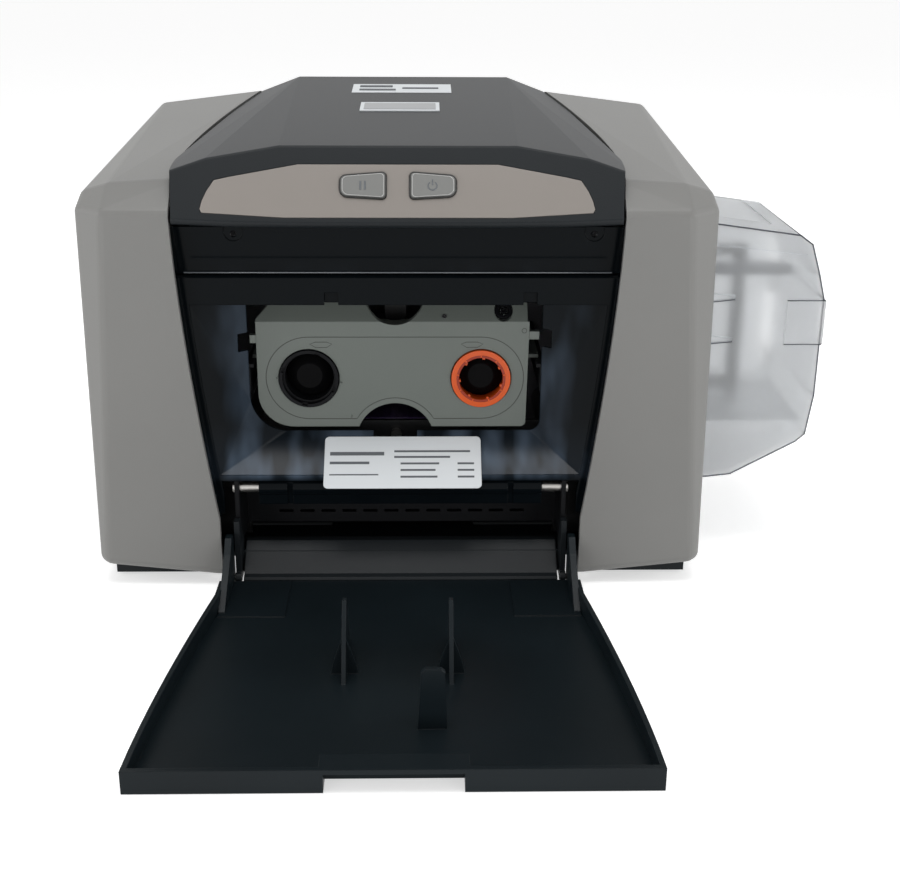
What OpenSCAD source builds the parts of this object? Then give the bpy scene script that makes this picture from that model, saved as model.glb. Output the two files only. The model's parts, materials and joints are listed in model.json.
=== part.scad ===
// Card printer for plastic identity cards, with its front cover lowered.
// X runs to the right, Y to the back and Z up, in millimetres.
// Sizes below are counted from the case's front face (Y) and from the table (Z);
// the finished part is moved so that its origin lies midway between the feet.

/* [Case] */
// Width of the silver case
case_w = 328; // [316:1:340]
// Depth from the front face to the rear face
case_d = 228; // [222:1:240]
// Height of the top cover's rear edge above the table
case_h = 249; // [246:1:254]
// Height of the case's lower edge above the table, at its sides
case_lift = 11; // [10:0.5:12]
// Height of the case's lower edge above the table, beside the opening
belly_z = 5; // [4.5:0.5:7]
// Drop from the top cover's rear edge to the top of the front face
top_drop = 45; // [43:1:47]
// Depth of the sloping shoulder
shoulder_run = 20; // [16:1:24]
// Rise of the sloping shoulder
shoulder_rise = 13; // [10:1:15]
// Drop of the silver top from the cover's rear edge to the rear corners
rear_drop = 16; // [13:1:19]
// Width of the bevel beside the front face, at its top
bevel_top = 16; // [12:1:20]
// Width of the bevel beside the front face, at its bottom
bevel_low = 5; // [3:1:8]
// Radius of the case's rounded edges
edge_r = 6; // [4:0.5:8]
// Thickness of the case walls
wall = 3; // [2.4:0.1:3.4]
// Gap between neighbouring mouldings
seam = 0.5; // [0.3:0.1:0.8]

/* [Base] */
// Height that the rubber feet stand out below the base tray
foot_h = 1.5; // [1.2:0.1:2]
// Radius of a foot
foot_r = 9; // [7:0.5:11]
// Distance of the front feet from the front face
foot_front = 32; // [28:1:40]
// Distance of the rear feet from the front face
foot_rear = 198; // [190:1:204]
// Thickness of the base tray's floor
base_t = 3; // [2:0.5:4]
// Height of the base tray's side walls
base_wall_h = 14; // [11:1:16]

/* [Front opening] */
// Width of the opening at its top
open_top_w = 228; // [222:1:229]
// Width of the opening at its narrowest, near the bottom
open_low_w = 191; // [189:1:195]
// Height of the narrowest place of the opening
open_kink_z = 28; // [26:1:32]

/* [Front cover] */
// Thickness of the cover's plate
door_t = 2.8; // [2.4:0.1:3.2]
// Depth of the rim round the plate
rim_h = 11; // [10:0.1:12]
// Thickness of the rim
rim_t = 2.6; // [2:0.1:3]
// Gap between the cover and the opening
door_gap = 0.6; // [0.5:0.1:1.4]
// Distance of the hinge pin behind the front face
pivot_y = 2.2; // [2:0.1:2.4]
// Height of the hinge pin above the table
pivot_z = 3.5; // [3.4:0.1:3.8]
// Radius of the hinge pins
hinge_pin_r = 1.6; // [1.2:0.1:1.8]
// Radial clearance of a turning pin or shaft
run_gap = 0.06; // [0.04:0.01:0.09]
// Height of the two pusher fins
fin_h = 36.5; // [32:0.5:37]
// Distance between the two pusher fins
fin_pitch = 51; // [44:1:56]
// Width of the finger recess in the cover's top edge
grip_w = 59; // [50:1:66]

/* [Top cover] */
// Width of the top cover at its front
cover_front_w = 226; // [222:1:228]
// Width of the top cover at its widest
cover_mid_w = 234; // [230:1:238]
// Width of the top cover at the rear
cover_rear_w = 180; // [176:1:190]
// Width of the flat crown at the rear edge
crown_w = 132; // [124:1:140]
// Height of the crease above the shoulder of the case
crease_rise = 17; // [15:1:19]

/* [Control plate] */
// Width of the control plate
plate_w = 196.5; // [186:0.5:198]
// Height of the control plate along the slope
plate_h = 28.5; // [26:0.5:29]
// Distance of the control plate from the lip below it
plate_v = 2.6; // [2:0.1:3]
// Thickness of the control plate
plate_t = 1.6; // [1.2:0.1:2]
// Width of a button
button_w = 23; // [18:1:24]
// Height of a button
button_h = 14; // [12:1:15]
// Distance between the two buttons' inner edges
button_space = 12; // [10:1:16]
// Travel of a button
button_travel = 1.2; // [0.8:0.1:1.3]
// Gap round a button
button_gap = 0.5; // [0.3:0.1:0.7]

/* [Ribbon cartridge] */
// Distance of the cartridge's face behind the front face
cart_y = 37; // [36.5:0.5:38]
// Left edge of the cartridge
cart_left = -78; // [-79:0.5:-77]
// Right edge of the cartridge
cart_right = 71; // [70:0.5:72]
// Height of the cartridge's lower edge
cart_low = 79; // [78.5:0.5:80]
// Height of the knee where the face turns back
cart_knee = 139; // [137:1:141]
// Radius of the spool cores
core_r = 16.2; // [15:0.1:16.6]
// Bore radius of the spool cores
core_bore_r = 13.4; // [13:0.1:13.8]
// Place of the supply spool across the printer
supply_x = -50; // [-50.5:0.5:-49.5]
// Place of the take-up spool across the printer
takeup_x = 44; // [43.5:0.5:44.5]
// Height of the spools
spool_z = 107; // [106.5:0.5:107.5]
// Radius of the ribbon wound on the supply core
supply_roll_r = 24; // [20:0.5:24.4]
// Radius of the ribbon wound on the take-up core
takeup_roll_r = 18.5; // [17.5:0.5:20]

/* [Card path] */
// Height of the card path
path_z = 76.5; // [76:0.1:76.9]
// Width of a card
card_w = 54; // [53:0.5:55]
// Distance of the card's centre line behind the front face
card_y = 90; // [89:0.5:91]
// Radius of the driven rollers
roller_r = 9; // [8.6:0.1:9.2]
// Radius of the roller shafts
shaft_r = 3; // [2.6:0.1:3.2]
// Radius of the pinch rollers
pinch_r = 5; // [4.6:0.1:5.2]
// Place of the print head and platen across the printer
platen_x = -3; // [-4:0.5:-2]
// Thickness of the steel chassis plates
plate_steel = 2; // [1.5:0.1:2.2]
// Gear module
gear_m = 0.8; // [0.78:0.01:0.82]
// Thickness of the drive belt
belt_t = 1.2; // [1:0.1:1.4]
// Travel of the print head between lifted and lowered
head_travel = 7; // [5:0.5:7.5]

/* [Card hopper] */
// Distance of the hopper's front wall behind the front face
hopper_front = 52; // [50:1:54]
// Distance of the hopper's rear wall behind the front face
hopper_rear = 150; // [146:1:154]
// How far the hopper stands out from the case
hopper_out = 69; // [67:0.5:71]
// Height of the hopper's top
hopper_top = 190.5; // [187:0.5:193]
// Height of the hopper's underside
hopper_low = 42.5; // [40:0.5:44]
// Thickness of the hopper's clear walls
clear_t = 2; // [1.6:0.1:2.4]
// Radius of the hopper cover's hinge pin
hopper_pin_r = 1.5; // [1.2:0.1:1.8]

/* [Hidden] */
$fn = 48;
eps = 0.01;

// The finished part's origin, midway between the front and rear feet
origin_y = (foot_front + foot_rear) / 2;

// Case
side_x = case_w / 2;
foot_x = side_x - 34;
belly_x = open_low_w / 2 + 4.5;
boss_x = side_x - wall - 8;
boss_ys = [foot_front + 14, foot_rear - 10];
screw_head_r = 3;
screw_seat = 1.5;
floor_z = foot_h + base_t;
shoulder_z = case_h - top_drop;
shoulder_top = shoulder_z + shoulder_rise;
rear_z = case_h - rear_drop;

// Opening
open_top_z = shoulder_z - 1;
low_half = open_low_w / 2;
function open_half(z) = z <= open_kink_z ? low_half + 1.5
  : open_top_w / 2 - (open_top_w / 2 - low_half)
    * pow((open_top_z - min(z, open_top_z)) / (open_top_z - open_kink_z), 1.5);
function steps(a, b, n) = [for (i = [0:n]) a + (b - a) * i / n];
// Outline of the opening between two heights, drawn in by inset on each side
function open_outline(z0, z1, inset) = concat(
  [for (z = steps(z0, z1, 12)) [open_half(z) - inset, z]],
  [for (z = steps(z1, z0, 12)) [-open_half(z) + inset, z]]);

// Control slope: the plane that carries the control plate
slope_low = [-2.4, shoulder_z - 3.2];
slope_top = [shoulder_run, shoulder_top + crease_rise];
slope_a = atan2(slope_top[1] - slope_low[1], slope_top[0] - slope_low[0]);
slope_len = norm(slope_top - slope_low);

// Cover hinge
fin_x = fin_pitch / 2;
fin_z = 94;
flag_z = 154.2;
door_face = pivot_y - pivot_z + 0.3;
door_in = door_face + door_t;
rim_y = door_face + rim_h;
door_low = 2 * pivot_z;
door_top = shoulder_z - 6.8;
ear_x = low_half - 5.1;
ear_t = 3.4;
arm_x = ear_x + 0.6;
arm_t = 3.5;
arm_slot = 34;

// Front frame and bay
frame_front = rim_y + 1.6;
frame_top = shoulder_z - 8;
bay_y = cart_y - 3;
bay_left = cart_left - 4;
bay_right = cart_right + 5.5;
bay_low = cart_low - 1;
bar_front = frame_front + 2.4;
bar_low = cart_knee + 16;
bar_top = bar_low + (frame_top - bar_low) * 0.378;
ledge_z = bay_low - 18;
mouth_inset = 3;
frame_t = 2.4;

// Cartridge
cart_back = card_y + card_w / 2 + 1;
lobe_y = cart_y + 9;
arch_x = (cart_left + cart_right) / 2 + 0.5;
arch_r = 21.5;
arch_rise = 13.6;
core_front = cart_y - 1.5;
rail_z = 116;

// Card path and chassis
roller_z = path_z - roller_r;
front_plate_y = card_y - card_w / 2 - 5;
rear_plate_y = cart_back + 3;
gear_y = rear_plate_y + plate_steel + 1;
gear_w = 5;
pulley_y = gear_y + gear_w + 1;
pulley_w = 6;
gear_plate_y = pulley_y + pulley_w + 1.5;
feed_x = 88;
transport_x = -92;
pick_x = 145;
pinch_z = path_z + 0.9 + pinch_r;
clean_x = 118;
pulley_r = 7.5;
big_teeth = 36;
small_teeth = 12;
gear_dist = gear_m * (big_teeth + small_teeth) / 2;

// Hopper
hop_x0 = side_x;
hop_x1 = side_x + hopper_out;
hop_hinge_x = hop_x1 - 3;
hop_hinge_y = hopper_rear + 1;
stack_x1 = hop_x1 - clear_t - 3;
weight_z = path_z + 76;

/* Shared shapes */

// Moves a piece from front-face coordinates to the part's own origin
module place() translate([0, -origin_y, 0]) children();

// An outline in the X-Z plane, given depth from y0 to y1
module slab_y(y0, y1) translate([0, y1, 0]) rotate([90, 0, 0]) linear_extrude(y1 - y0) children();

// An outline in the Y-Z plane, given width from x0 to x1
module slab_x(x0, x1) translate([x0, 0, 0]) rotate([90, 0, 90]) linear_extrude(x1 - x0) children();

// A round bar along Y
module bar_along_y(x, z, r, y0, y1) translate([x, y0, z]) rotate([-90, 0, 0])
  cylinder(r = r, h = y1 - y0);

// A round bar along X
module bar_along_x(y, z, r, x0, x1) translate([x0, y, z]) rotate([0, 90, 0]) cylinder(r = r, h = x1 - x0);

// A box from one corner to the opposite one
module block(a, b) translate(a) cube(b - a);

// A box whose four edges along Y are rounded
module round_block(a, b, r) slab_y(a[1], b[1]) hull() {
  translate([a[0] + r, a[2] + r]) circle(r, $fn = 32);
  translate([b[0] - r, a[2] + r]) circle(r, $fn = 32);
  translate([a[0] + r, b[2] - r]) circle(r, $fn = 32);
  translate([b[0] - r, b[2] - r]) circle(r, $fn = 32);
}

// Both mirror images of a shape across the printer's middle
module both_sides() {
  children();
  mirror([1, 0, 0]) children();
}

/* Case */

// Corner points of the case on its right side, drawn in by the edge radius
function case_corners(r) = [
  [side_x - bevel_top - 0.4 * r, r, shoulder_z - 0.3 * r],
  [side_x - bevel_low - 0.4 * r, r, case_lift + r],
  [side_x - r, bevel_top + 0.4 * r, shoulder_z + 4 - r],
  [side_x - r, bevel_low + 0.4 * r, case_lift + r],
  [side_x - bevel_top - 3, shoulder_run, shoulder_top - r],
  [side_x - r - 1, shoulder_run + 6, shoulder_top - r - 4],
  [side_x - r - 7, case_d - r, rear_z - r],
  [side_x - r, case_d - r, shoulder_z - r],
  [side_x - r, case_d - r, case_lift + r],
  [belly_x, r, belly_z + r],
  [belly_x, case_d - r, belly_z + r],
  [cover_front_w / 2, shoulder_run, shoulder_top + 2 - r],
  [cover_rear_w / 2, case_d - r, case_h - 8.5 - r]
];

// The whole case as one closed form, t inside its outer surface
module case_form(t) {
  r = edge_r;
  hull() both_sides() for (p = case_corners(r))
    translate(p) sphere(r - t, $fn = 24);
}

// Plan of the top cover, drawn in by inset
function cover_half(y) = y < 55
  ? cover_front_w / 2 + (cover_mid_w - cover_front_w) / 2 * (1 - pow((55 - max(y, 0)) / 55, 2))
  : cover_mid_w / 2 - (cover_mid_w - cover_rear_w) / 2 * pow((y - 55) / (case_d - 55), 1.6);
function cover_plan(inset) = concat(
  [for (y = concat([-20], steps(0, case_d, 12), [case_d + 10])) [cover_half(min(y, case_d)) - inset, y]],
  [for (y = concat([case_d + 10], steps(case_d, 0, 12), [-20])) [-cover_half(min(y, case_d))
    + inset, y]]);

// Everything that the front opening, the top cover and the rear panel take from the case
module case_cuts() {
  slab_y(-5, shoulder_run + 8) polygon(open_outline(belly_z, open_top_z + 8, 0));
  block([-low_half - 1.5, -5, 0], [low_half + 1.5, shoulder_run + 8, belly_z + 4]);
  translate([0, 0, open_top_z - 6]) linear_extrude(90) polygon(cover_plan(0));
  block([-cover_rear_w / 2, case_d - 20, 0], [cover_rear_w / 2, case_d + 10, case_h]);
}

module side_case() {
  difference() {
    case_form(0);
    case_form(wall);
    case_cuts();
    block([-side_x - 5, -5, 0], [0, case_d + 5, case_h + 10]);
    block([0, wall + 1, 0], [side_x - wall - 2.4, case_d - wall - 2, case_lift + wall + 3]);
  }
  // screw bosses that the base tray is fastened to
  for (y = boss_ys) difference() {
    union() {
      translate([boss_x, y, base_wall_h + seam]) cylinder(r = 4, h = 22);
      block([boss_x, y - 1, base_wall_h + 4], [side_x - wall / 2, y + 1, base_wall_h + 18]);
    }
    translate([boss_x, y, 0]) cylinder(r = 1.5, h = 30);
  }
}

module left_case() place() color([0.53, 0.53, 0.5]) mirror([1, 0, 0]) side_case();

module right_case() place() color([0.53, 0.53, 0.5]) difference() {
  side_case();
  block([side_x - 20, front_plate_y + 2, hopper_low + 4], [side_x + 5, rear_plate_y - 1, weight_z + 12]);
}

module rear_panel() place() color([0.2, 0.21, 0.22]) {
  x = cover_rear_w / 2 - seam;
  difference() {
    union() {
      block([-x, case_d - wall, case_lift + 2], [x, case_d, case_h - 24]);
      for (s = [-1, 1]) block([s * (x - 2) - 1, case_d - 14, case_lift + 8],
        [s * (x - 2) + 1, case_d - wall + eps, case_h - 37]);
    }
    // cooling slots
    for (i = [0:7], s = [-1, 1])
      block([s * 42 - 24, case_d - 10, 140 + i * 8], [s * 42 + 24, case_d + 5, 144 + i * 8]);
    // power inlet, data socket and security slot
    bar_along_y(inlet_x, board_z + 8, 6 + seam, case_d - 10, case_d + 5);
    block([usb_x - 6 - seam, case_d - 10, board_z + 2 - seam],
      [usb_x + 6 + seam, case_d + 5, board_z + 13 + seam]);
    block([62, case_d - 10, 28], [69, case_d + 5, 31]);
  }
}

/* Top cover */

// Outer form of the top cover, t inside its surface
module cover_form(t) {
  r = 2.4;
  form_half = max(cover_front_w, cover_mid_w) / 2 + 2;
  hull() both_sides() {
    translate([crown_w / 2, case_d - r, case_h - r]) sphere(r - t, $fn = 16);
    translate([crown_w / 2, case_d - r, case_h - 30]) sphere(r - t, $fn = 16);
    translate([cover_rear_w / 2 + 4, case_d - r, case_h - 10.5 - r]) sphere(r - t, $fn = 16);
    translate([cover_rear_w / 2 + 4, case_d - r, case_h - 30]) sphere(r - t, $fn = 16);
    slope_point(60, slope_len, r) sphere(r - t, $fn = 24);
    slope_point(96, slope_len - 6.8, r) sphere(r - t, $fn = 24);
    slope_point(form_half, slope_len - 15.5, r) sphere(r - t, $fn = 24);
    slope_point(50, 0.6, r) sphere(r - t, $fn = 24);
    slope_point(84, 1.2, r) sphere(r - t, $fn = 24);
    slope_point(cover_front_w / 2 + 2, 2.6, r) sphere(r - t, $fn = 24);
    translate([cover_front_w / 2 + 2, 12, shoulder_z]) sphere(r - t, $fn = 16);
    translate([50, 8, shoulder_z - 3]) sphere(r - t, $fn = 16);
  }
}

// A point at x, v up the control slope, sunk by r below its surface
module slope_point(x, v, r) on_slope() translate([x, v, -r]) children();

// Places a shape on the control slope: X across, Y up the slope, Z outwards
module on_slope() translate([0, slope_low[0], slope_low[1]]) rotate([slope_a, 0, 0]) children();

// The same slope, counted from the control plate's lower edge
module on_plate() on_slope() translate([0, plate_v, 0]) children();

// Outline of the control plate, drawn in by inset
module plate_outline(inset) {
  w = plate_w / 2 - inset;
  h = plate_h - inset;
  polygon([
    [w, 4.5], [w - 1, 9], [w - 3, 14], [w - 6.5, h - 8.6], [w - 14, h - 6.8], [w / 2 + 1, h],
    [-w / 2 - 1, h], [-w + 14, h - 6.8], [-w + 6.5, h - 8.6], [-w + 3, 14], [-w + 1, 9], [-w, 4.5],
    [-w + 1, 2.6 + inset], [-w * 0.58, inset], [w * 0.58, inset], [w - 1, 2.6 + inset]
  ]);
}

// Outline of the right-hand button, grown by g
module button_outline(g) {
  x0 = button_space / 2 - g;
  x1 = button_space / 2 + button_w + g;
  v0 = 10 - g;
  v1 = 10 + button_h + g;
  r = 2 + g;
  hull() {
    translate([x0 + r, v0 + r]) circle(r, $fn = 32);
    translate([x0 + r, v1 - r]) circle(r, $fn = 32);
    translate([x1 - r * 2, v0 + 1 + r * 2]) circle(r * 2, $fn = 32);
    translate([x1 - r * 1.5, v1 - 1.5 - r * 1.5]) circle(r * 1.5, $fn = 32);
  }
}

module top_cover() place() color([0.24, 0.25, 0.26]) difference() {
  intersection() {
    difference() {
      cover_form(0);
      cover_form(2.2);
    }
    linear_extrude(case_h + 10) polygon(cover_plan(seam));
  }
  // seat of the control plate, and the hole behind it
  on_plate() translate([0, 0, -plate_t]) linear_extrude(5) plate_outline(-seam / 2);
  on_plate() translate([0, 0, -12]) linear_extrude(14) plate_outline(2);
  // the underside is open behind the lip
  block([-cover_mid_w, shoulder_run - 6, 0], [cover_mid_w, case_d - wall - seam, shoulder_z + 10]);
  block([-cover_mid_w, case_d - wall - seam, 0], [cover_mid_w, case_d + 5, case_h - 23.5]);
}

module control_plate() place() color([0.61, 0.58, 0.55]) on_plate() difference() {
  translate([0, 0, -plate_t]) linear_extrude(plate_t) plate_outline(0);
  both_sides() translate([0, 0, -5]) linear_extrude(10) button_outline(button_gap);
}

module panel_button() on_plate() {
  translate([0, 0, -plate_t - 0.4]) linear_extrude(plate_t + 1.4) button_outline(0);
  translate([button_space / 2 + 9, 17, -plate_t - 4]) cylinder(r = 3, h = 4);
  // skirt that keeps the button behind its hole
  translate([0, 0, -plate_t - 1.4]) linear_extrude(1.2) button_outline(button_gap + 0.8);
}

module power_button() place() color([0.6, 0.61, 0.63]) panel_button();

module pause_button() place() color([0.6, 0.61, 0.63]) mirror([1, 0, 0]) panel_button();

module button_board() place() color([0.1, 0.35, 0.2]) on_plate() {
  z = -plate_t - 4 - button_travel - 0.5;
  difference() {
    translate([-50, 5, z - 1.6]) cube([100, 18, 1.6]);
    for (x = [-44, 44]) translate([x, 14, z - 5]) cylinder(r = 1.6, h = 10);
  }
  for (s = [-1, 1]) translate([s * (button_space / 2 + 9) - 3, 14, z - eps]) cube([6, 6, 0.4]);
  // posts that hold the board to the control plate
  for (x = [-36, 36]) translate([x, 14, z - eps]) cylinder(r = 2.5, h = -z - plate_t + eps);
}

/* Front frame */

// The bay opening's outline, grown by g, with a large lower left corner
module bay_outline(g) {
  r = 20;
  hull() {
    translate([bay_left + r, bay_low + r]) circle(r + g, $fn = 48);
    translate([bay_right - 6, bay_low + 6]) circle(6 + g, $fn = 32);
    translate([bay_left - g, bar_low + 5]) square([bay_right - bay_left + 2 * g, 1 + g]);
  }
}

// The space between the frame's mouth and the bay, grown by g
module funnel(g) hull() {
  slab_y(frame_front + 0.8, frame_front + 0.9)
    polygon(open_outline(ledge_z - g, bar_low + g, mouth_inset - g));
  slab_y(bay_y, bay_y + eps) bay_outline(g);
}

// Bar across the mouth, and the sloping panel above it
module bar_and_panel() intersection() {
  slab_y(wall + seam, bay_y) polygon(open_outline(bar_low - 4, frame_top, -3));
  slab_x(-side_x, side_x) polygon([
    [frame_front, bar_low], [frame_front, bar_top - 1.2], [frame_front + 1.2, bar_top],
    [frame_front + 4.4, bar_top + 0.3], [frame_front + 1.2, frame_top - 0.4],
    [frame_front + 3.8, frame_top - 0.4], [frame_front + 7, bar_top - 2], [frame_front + 7, bar_low]]);
}

module front_frame() place() color([0.06, 0.07, 0.09]) difference() {
  union() {
    funnel(frame_t);
    difference() {
      slab_y(wall + seam, bar_front) polygon(open_outline(ledge_z - 22, frame_top, -3.4));
      slab_y(0, bar_front + 1) polygon(open_outline(bar_low + 8, open_top_z, -seam));
    }
    bar_and_panel();
  }
  funnel(0);
  // room for the cover's rim, the mouth, and the middle below the ledge
  slab_y(0, frame_front) polygon(open_outline(ledge_z - 30, open_top_z, -seam));
  slab_y(0, frame_front + 0.85) polygon(open_outline(ledge_z, bar_low, mouth_inset));
  slab_y(0, bar_front + 1) polygon(open_outline(ledge_z - 30, ledge_z - 3.2, mouth_inset));
  block([-ear_x - 0.3, 0, ledge_z - 30], [ear_x + 0.3, bar_front + 10, ledge_z - 3.2]);
  // arched slots beside the rod
  both_sides() slab_y(0, bar_front + 20) {
    translate([ear_x + 0.2, 0]) square([5.2, ledge_z - 6]);
    translate([ear_x + 2.8, ledge_z - 6]) circle(2.6);
  }
  // screw pockets below the upper edge
  for (x = [-84, 100]) {
    bar_along_y(x, frame_top - 3, 5, frame_front - 1, frame_front + 2.6);
    bar_along_y(x, frame_top - 4.4, 1.6, frame_front - 1, frame_front + 8);
  }
  // notches in the bar's lower edge
  for (x = [-35, 68])
    block([x - 3.6, frame_front - 1, bar_low - 1], [x + 3.6, frame_front + 3, bar_low + 6.5]);
  // finger notch in the ledge's rear edge and latch notches at the sides
  block([arch_x - 12, bay_y - 3, bay_low - 6], [arch_x + 12, bay_y + 5, bay_low + 1]);
  block([bay_left - 5, bay_y - 4, 124], [bay_left + 2, bay_y + 5, 134]);
  block([bay_right - 2, bay_y - 4, 126], [bay_right + 5, bay_y + 5, 136]);
}

module lower_guard() place() color([0.05, 0.05, 0.06]) {
  x1 = ear_x - 0.2;
  z0 = 18.5;
  back = 46;
  difference() {
    slab_x(-x1, x1) polygon([
      [20.6, z0], [back, z0], [back, ledge_z - 3.4], [frame_front, ledge_z - 3.4],
      [frame_front, 33], [13.6, 28.4], [20.6, 19.5]]);
    block([-x1 + 2.4, 0, z0 - 1], [x1 - 2.4, back - 2.4, ledge_z]);
    bar_along_x(rod_y, rod_z, rod_r + 0.02, -x1 - 1, x1 + 1);
    // three rows of small slots in the rear wall
    for (i = [0:11], k = [0:2])
      block([-70 + i * 12, back - 5, z0 + 6 + k * 6], [-62 + i * 12, back + 1, z0 + 7.6 + k * 6]);
  }
}

rod_y = frame_front + 5;
rod_z = ledge_z - 8.6;
rod_r = 3;

module tie_rod() place() color([0.75, 0.75, 0.76])
  bar_along_x(rod_y, rod_z, rod_r, -ear_x - 1, ear_x + 1);

module rod_sleeve() place() color([0.08, 0.08, 0.1]) difference() {
  union() {
    bar_along_x(rod_y, rod_z, rod_r + 2.2, -77, 77);
    block([-77, rod_y - 4.2, rod_z - 8.4], [77, rod_y + 5, rod_z]);
  }
  bar_along_x(rod_y, rod_z, rod_r + 0.02, -80, 80);
  for (x = [-60, 60]) block([x - 1.5, rod_y - 8, rod_z - 10], [x + 1.5, rod_y - 3.4, rod_z + 8]);
}

/* Base */

module base_tray() place() color([0.13, 0.13, 0.14]) {
  x1 = side_x - wall - 3;
  difference() {
    union() {
      difference() {
        block([-x1, 14, foot_h], [x1, case_d - wall - seam - 2, base_wall_h]);
        block([-x1 + 2.5, 16.5, floor_z], [x1 - 2.5, case_d - wall - seam - 4.5, base_wall_h + 1]);
      }
      // front lip below the cover
      slab_x(-low_half + 9.5, low_half - 9.5)
        polygon([[pivot_y - 2.8, foot_h], [pivot_y - 2.8, foot_h + 1.8], [pivot_y - 2, foot_h + 3],
          [pivot_y + 1, foot_h + 3.8],
          [19.4, 18], [24, 18], [24, floor_z - 0.1], [22, foot_h]]);
      // bosses that carry the board and the chassis plates
      for (x = board_bosses[0], y = board_bosses[1]) translate([x, y, 2])
        cylinder(r = 3.5, h = board_z - 2);
    }
    both_sides() block([arm_x - 0.4, -2, 0], [low_half + 2.2, arm_slot, 30]);
    for (i = [0:9], s = [-1, 1]) block([s * 72 - 30, 70 + i * 9, 0], [s * 72 + 30, 74 + i * 9, 8]);
    for (x = [-boss_x, boss_x], y = boss_ys) translate([x, y, 0]) {
      cylinder(r = 1.7, h = 8);
      cylinder(r = screw_head_r + 0.3, h = foot_h + screw_seat);
    }
    for (x = board_bosses[0], y = board_bosses[1]) translate([x, y, 6]) cylinder(r = 1.2, h = 40);
    for (s = [-1, 1], y = [foot_front, foot_rear]) translate([s * foot_x, y, 0])
      cylinder(r = foot_r, h = foot_h + 1);
  }
  // hinge ears
  both_sides() difference() {
    union() {
      slab_x(ear_x - ear_t + 0.4, ear_x) polygon([
        [pivot_y, pivot_z - 2], [20, pivot_z - 2], [20, 19], [13, 28], [9, 36], [pivot_y + 1.6, 36],
          [pivot_y + 1, pivot_z]]);
      bar_along_x(pivot_y, pivot_z, 3.1, ear_x - ear_t + 0.4, ear_x);
    }
    bar_along_x(pivot_y, pivot_z, hinge_pin_r + 0.02, ear_x - 10, ear_x + 10);
  }
}

module rubber_feet() place() color([0.09, 0.09, 0.09])
  for (s = [-1, 1], y = [foot_front, foot_rear]) translate([s * foot_x, y, 0])
    cylinder(r = foot_r, h = foot_h + 1);

/* Front cover */

// Turns a shape drawn in the closed position down to the open one
module opened() translate([0, pivot_y, pivot_z]) rotate([90, 0, 0]) translate([0, -pivot_y, -pivot_z])
  children();

function door_outline(inset) = open_outline(door_low + inset, door_top - inset, door_gap + inset);

// A fin with its cross web, drawn in the closed position
module cover_fin() {
  tip_y = door_face + fin_h;
  root_y = door_in - 0.1;
  slab_x(-1, 1) polygon([
    [root_y, fin_z - 22], [root_y, fin_z + 22], [tip_y * 0.5, fin_z + 14],
    [tip_y, fin_z + 1.6], [tip_y, fin_z - 1.6]]);
  translate([0, 0, fin_z + 10]) linear_extrude(2)
    polygon([[-6.6, root_y], [6.6, root_y], [5, 9], [2.6, 16], [1, 20.4],
      [-1, 20.4], [-2.6, 16], [-5, 9]]);
}

// Flag that works the cover switch, drawn in the closed position
module switch_flag() {
  tip_y = door_face + 33;
  translate([0, 0, flag_z - 2.6]) linear_extrude(2.6)
    polygon([
      [9.6, door_in - 1], [22.8, door_in - 1], [21.8, tip_y - 1.6],
      [20, tip_y], [13, tip_y], [11.2, tip_y - 1.6]]);
  slab_x(15, 17.5)
    polygon([[door_in - 1, flag_z - 1], [door_in - 1, flag_z - 14], [door_face + 18, flag_z - 1]]);
}

module front_cover() place() color([0.1, 0.11, 0.13]) difference() {
  opened() {
    difference() {
      slab_y(door_face, rim_y) polygon(door_outline(0));
      slab_y(door_in, rim_y + 5) polygon(door_outline(rim_t));
      // the rim stops above the hinge
      block([-120, door_in, 0], [120, rim_y + 5, door_low + 16]);
      // finger recess in the top edge, open at the outside
      block([-grip_w / 2, door_face - 1, door_top - 10], [grip_w / 2, rim_y - 2.2, door_top + 5]);
    }
    // roof of the finger recess, with a raised rim
    difference() {
      block([-grip_w / 2 - 2, door_face, door_top - 12], [grip_w / 2 + 2, rim_y, door_top - 2.4]);
      block([-grip_w / 2, door_face - 1, door_top - 10], [grip_w / 2, rim_y - 2.2, door_top + 5]);
    }
    // pads at the hinge corners
    both_sides() block([low_half - 36, door_in - 1, door_low + 1],
      [low_half - 1.2, door_in + 0.6, door_low + 42]);
    both_sides() translate([fin_x, 0, 0]) cover_fin();
    // flag of the cover switch, with its rib
    switch_flag();
    // arms that carry the hinge and stop the cover
    both_sides() slab_x(arm_x, arm_x + arm_t) polygon([
      [door_face + 0.5, door_low + 38], [door_face + 0.5, door_low - 1], [pivot_y - 2.9, pivot_z - 1],
        [pivot_y - 1.4, pivot_z - 2.8],
      [pivot_y + 1, pivot_z - 3], [pivot_y + 22, pivot_z - 2.4], [pivot_y + 26, pivot_z],
        [pivot_y + 26, pivot_z + 5],
      [pivot_y + 19, pivot_z + 12], [door_in + 1, door_low + 38]]);
  }
  bar_along_x(pivot_y, pivot_z, hinge_pin_r + run_gap, -120, 120);
}

module cover_hinge_pins() place() color([0.7, 0.7, 0.7]) both_sides()
  bar_along_x(pivot_y, pivot_z, hinge_pin_r, ear_x - ear_t, arm_x + arm_t + 0.3);

/* Ribbon cartridge */

// Outline of the cartridge's front plate, drawn in by inset
module cart_outline(inset) difference() {
  hull() {
    translate([cart_left + 19, cart_low + 19]) circle(19 - inset, $fn = 48);
    translate([cart_right - 5, cart_low + 3]) circle(3 - min(inset, 2.5), $fn = 32);
    translate([cart_left + inset, cart_knee - 2]) square([1, 2 - inset]);
    translate([cart_right - 2 - inset, cart_knee - 2]) square([1, 2 - inset]);
  }
  arch_z = cart_low + arch_rise - arch_r;
  translate([arch_x, arch_z]) circle(arch_r + inset, $fn = 64);
}

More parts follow.
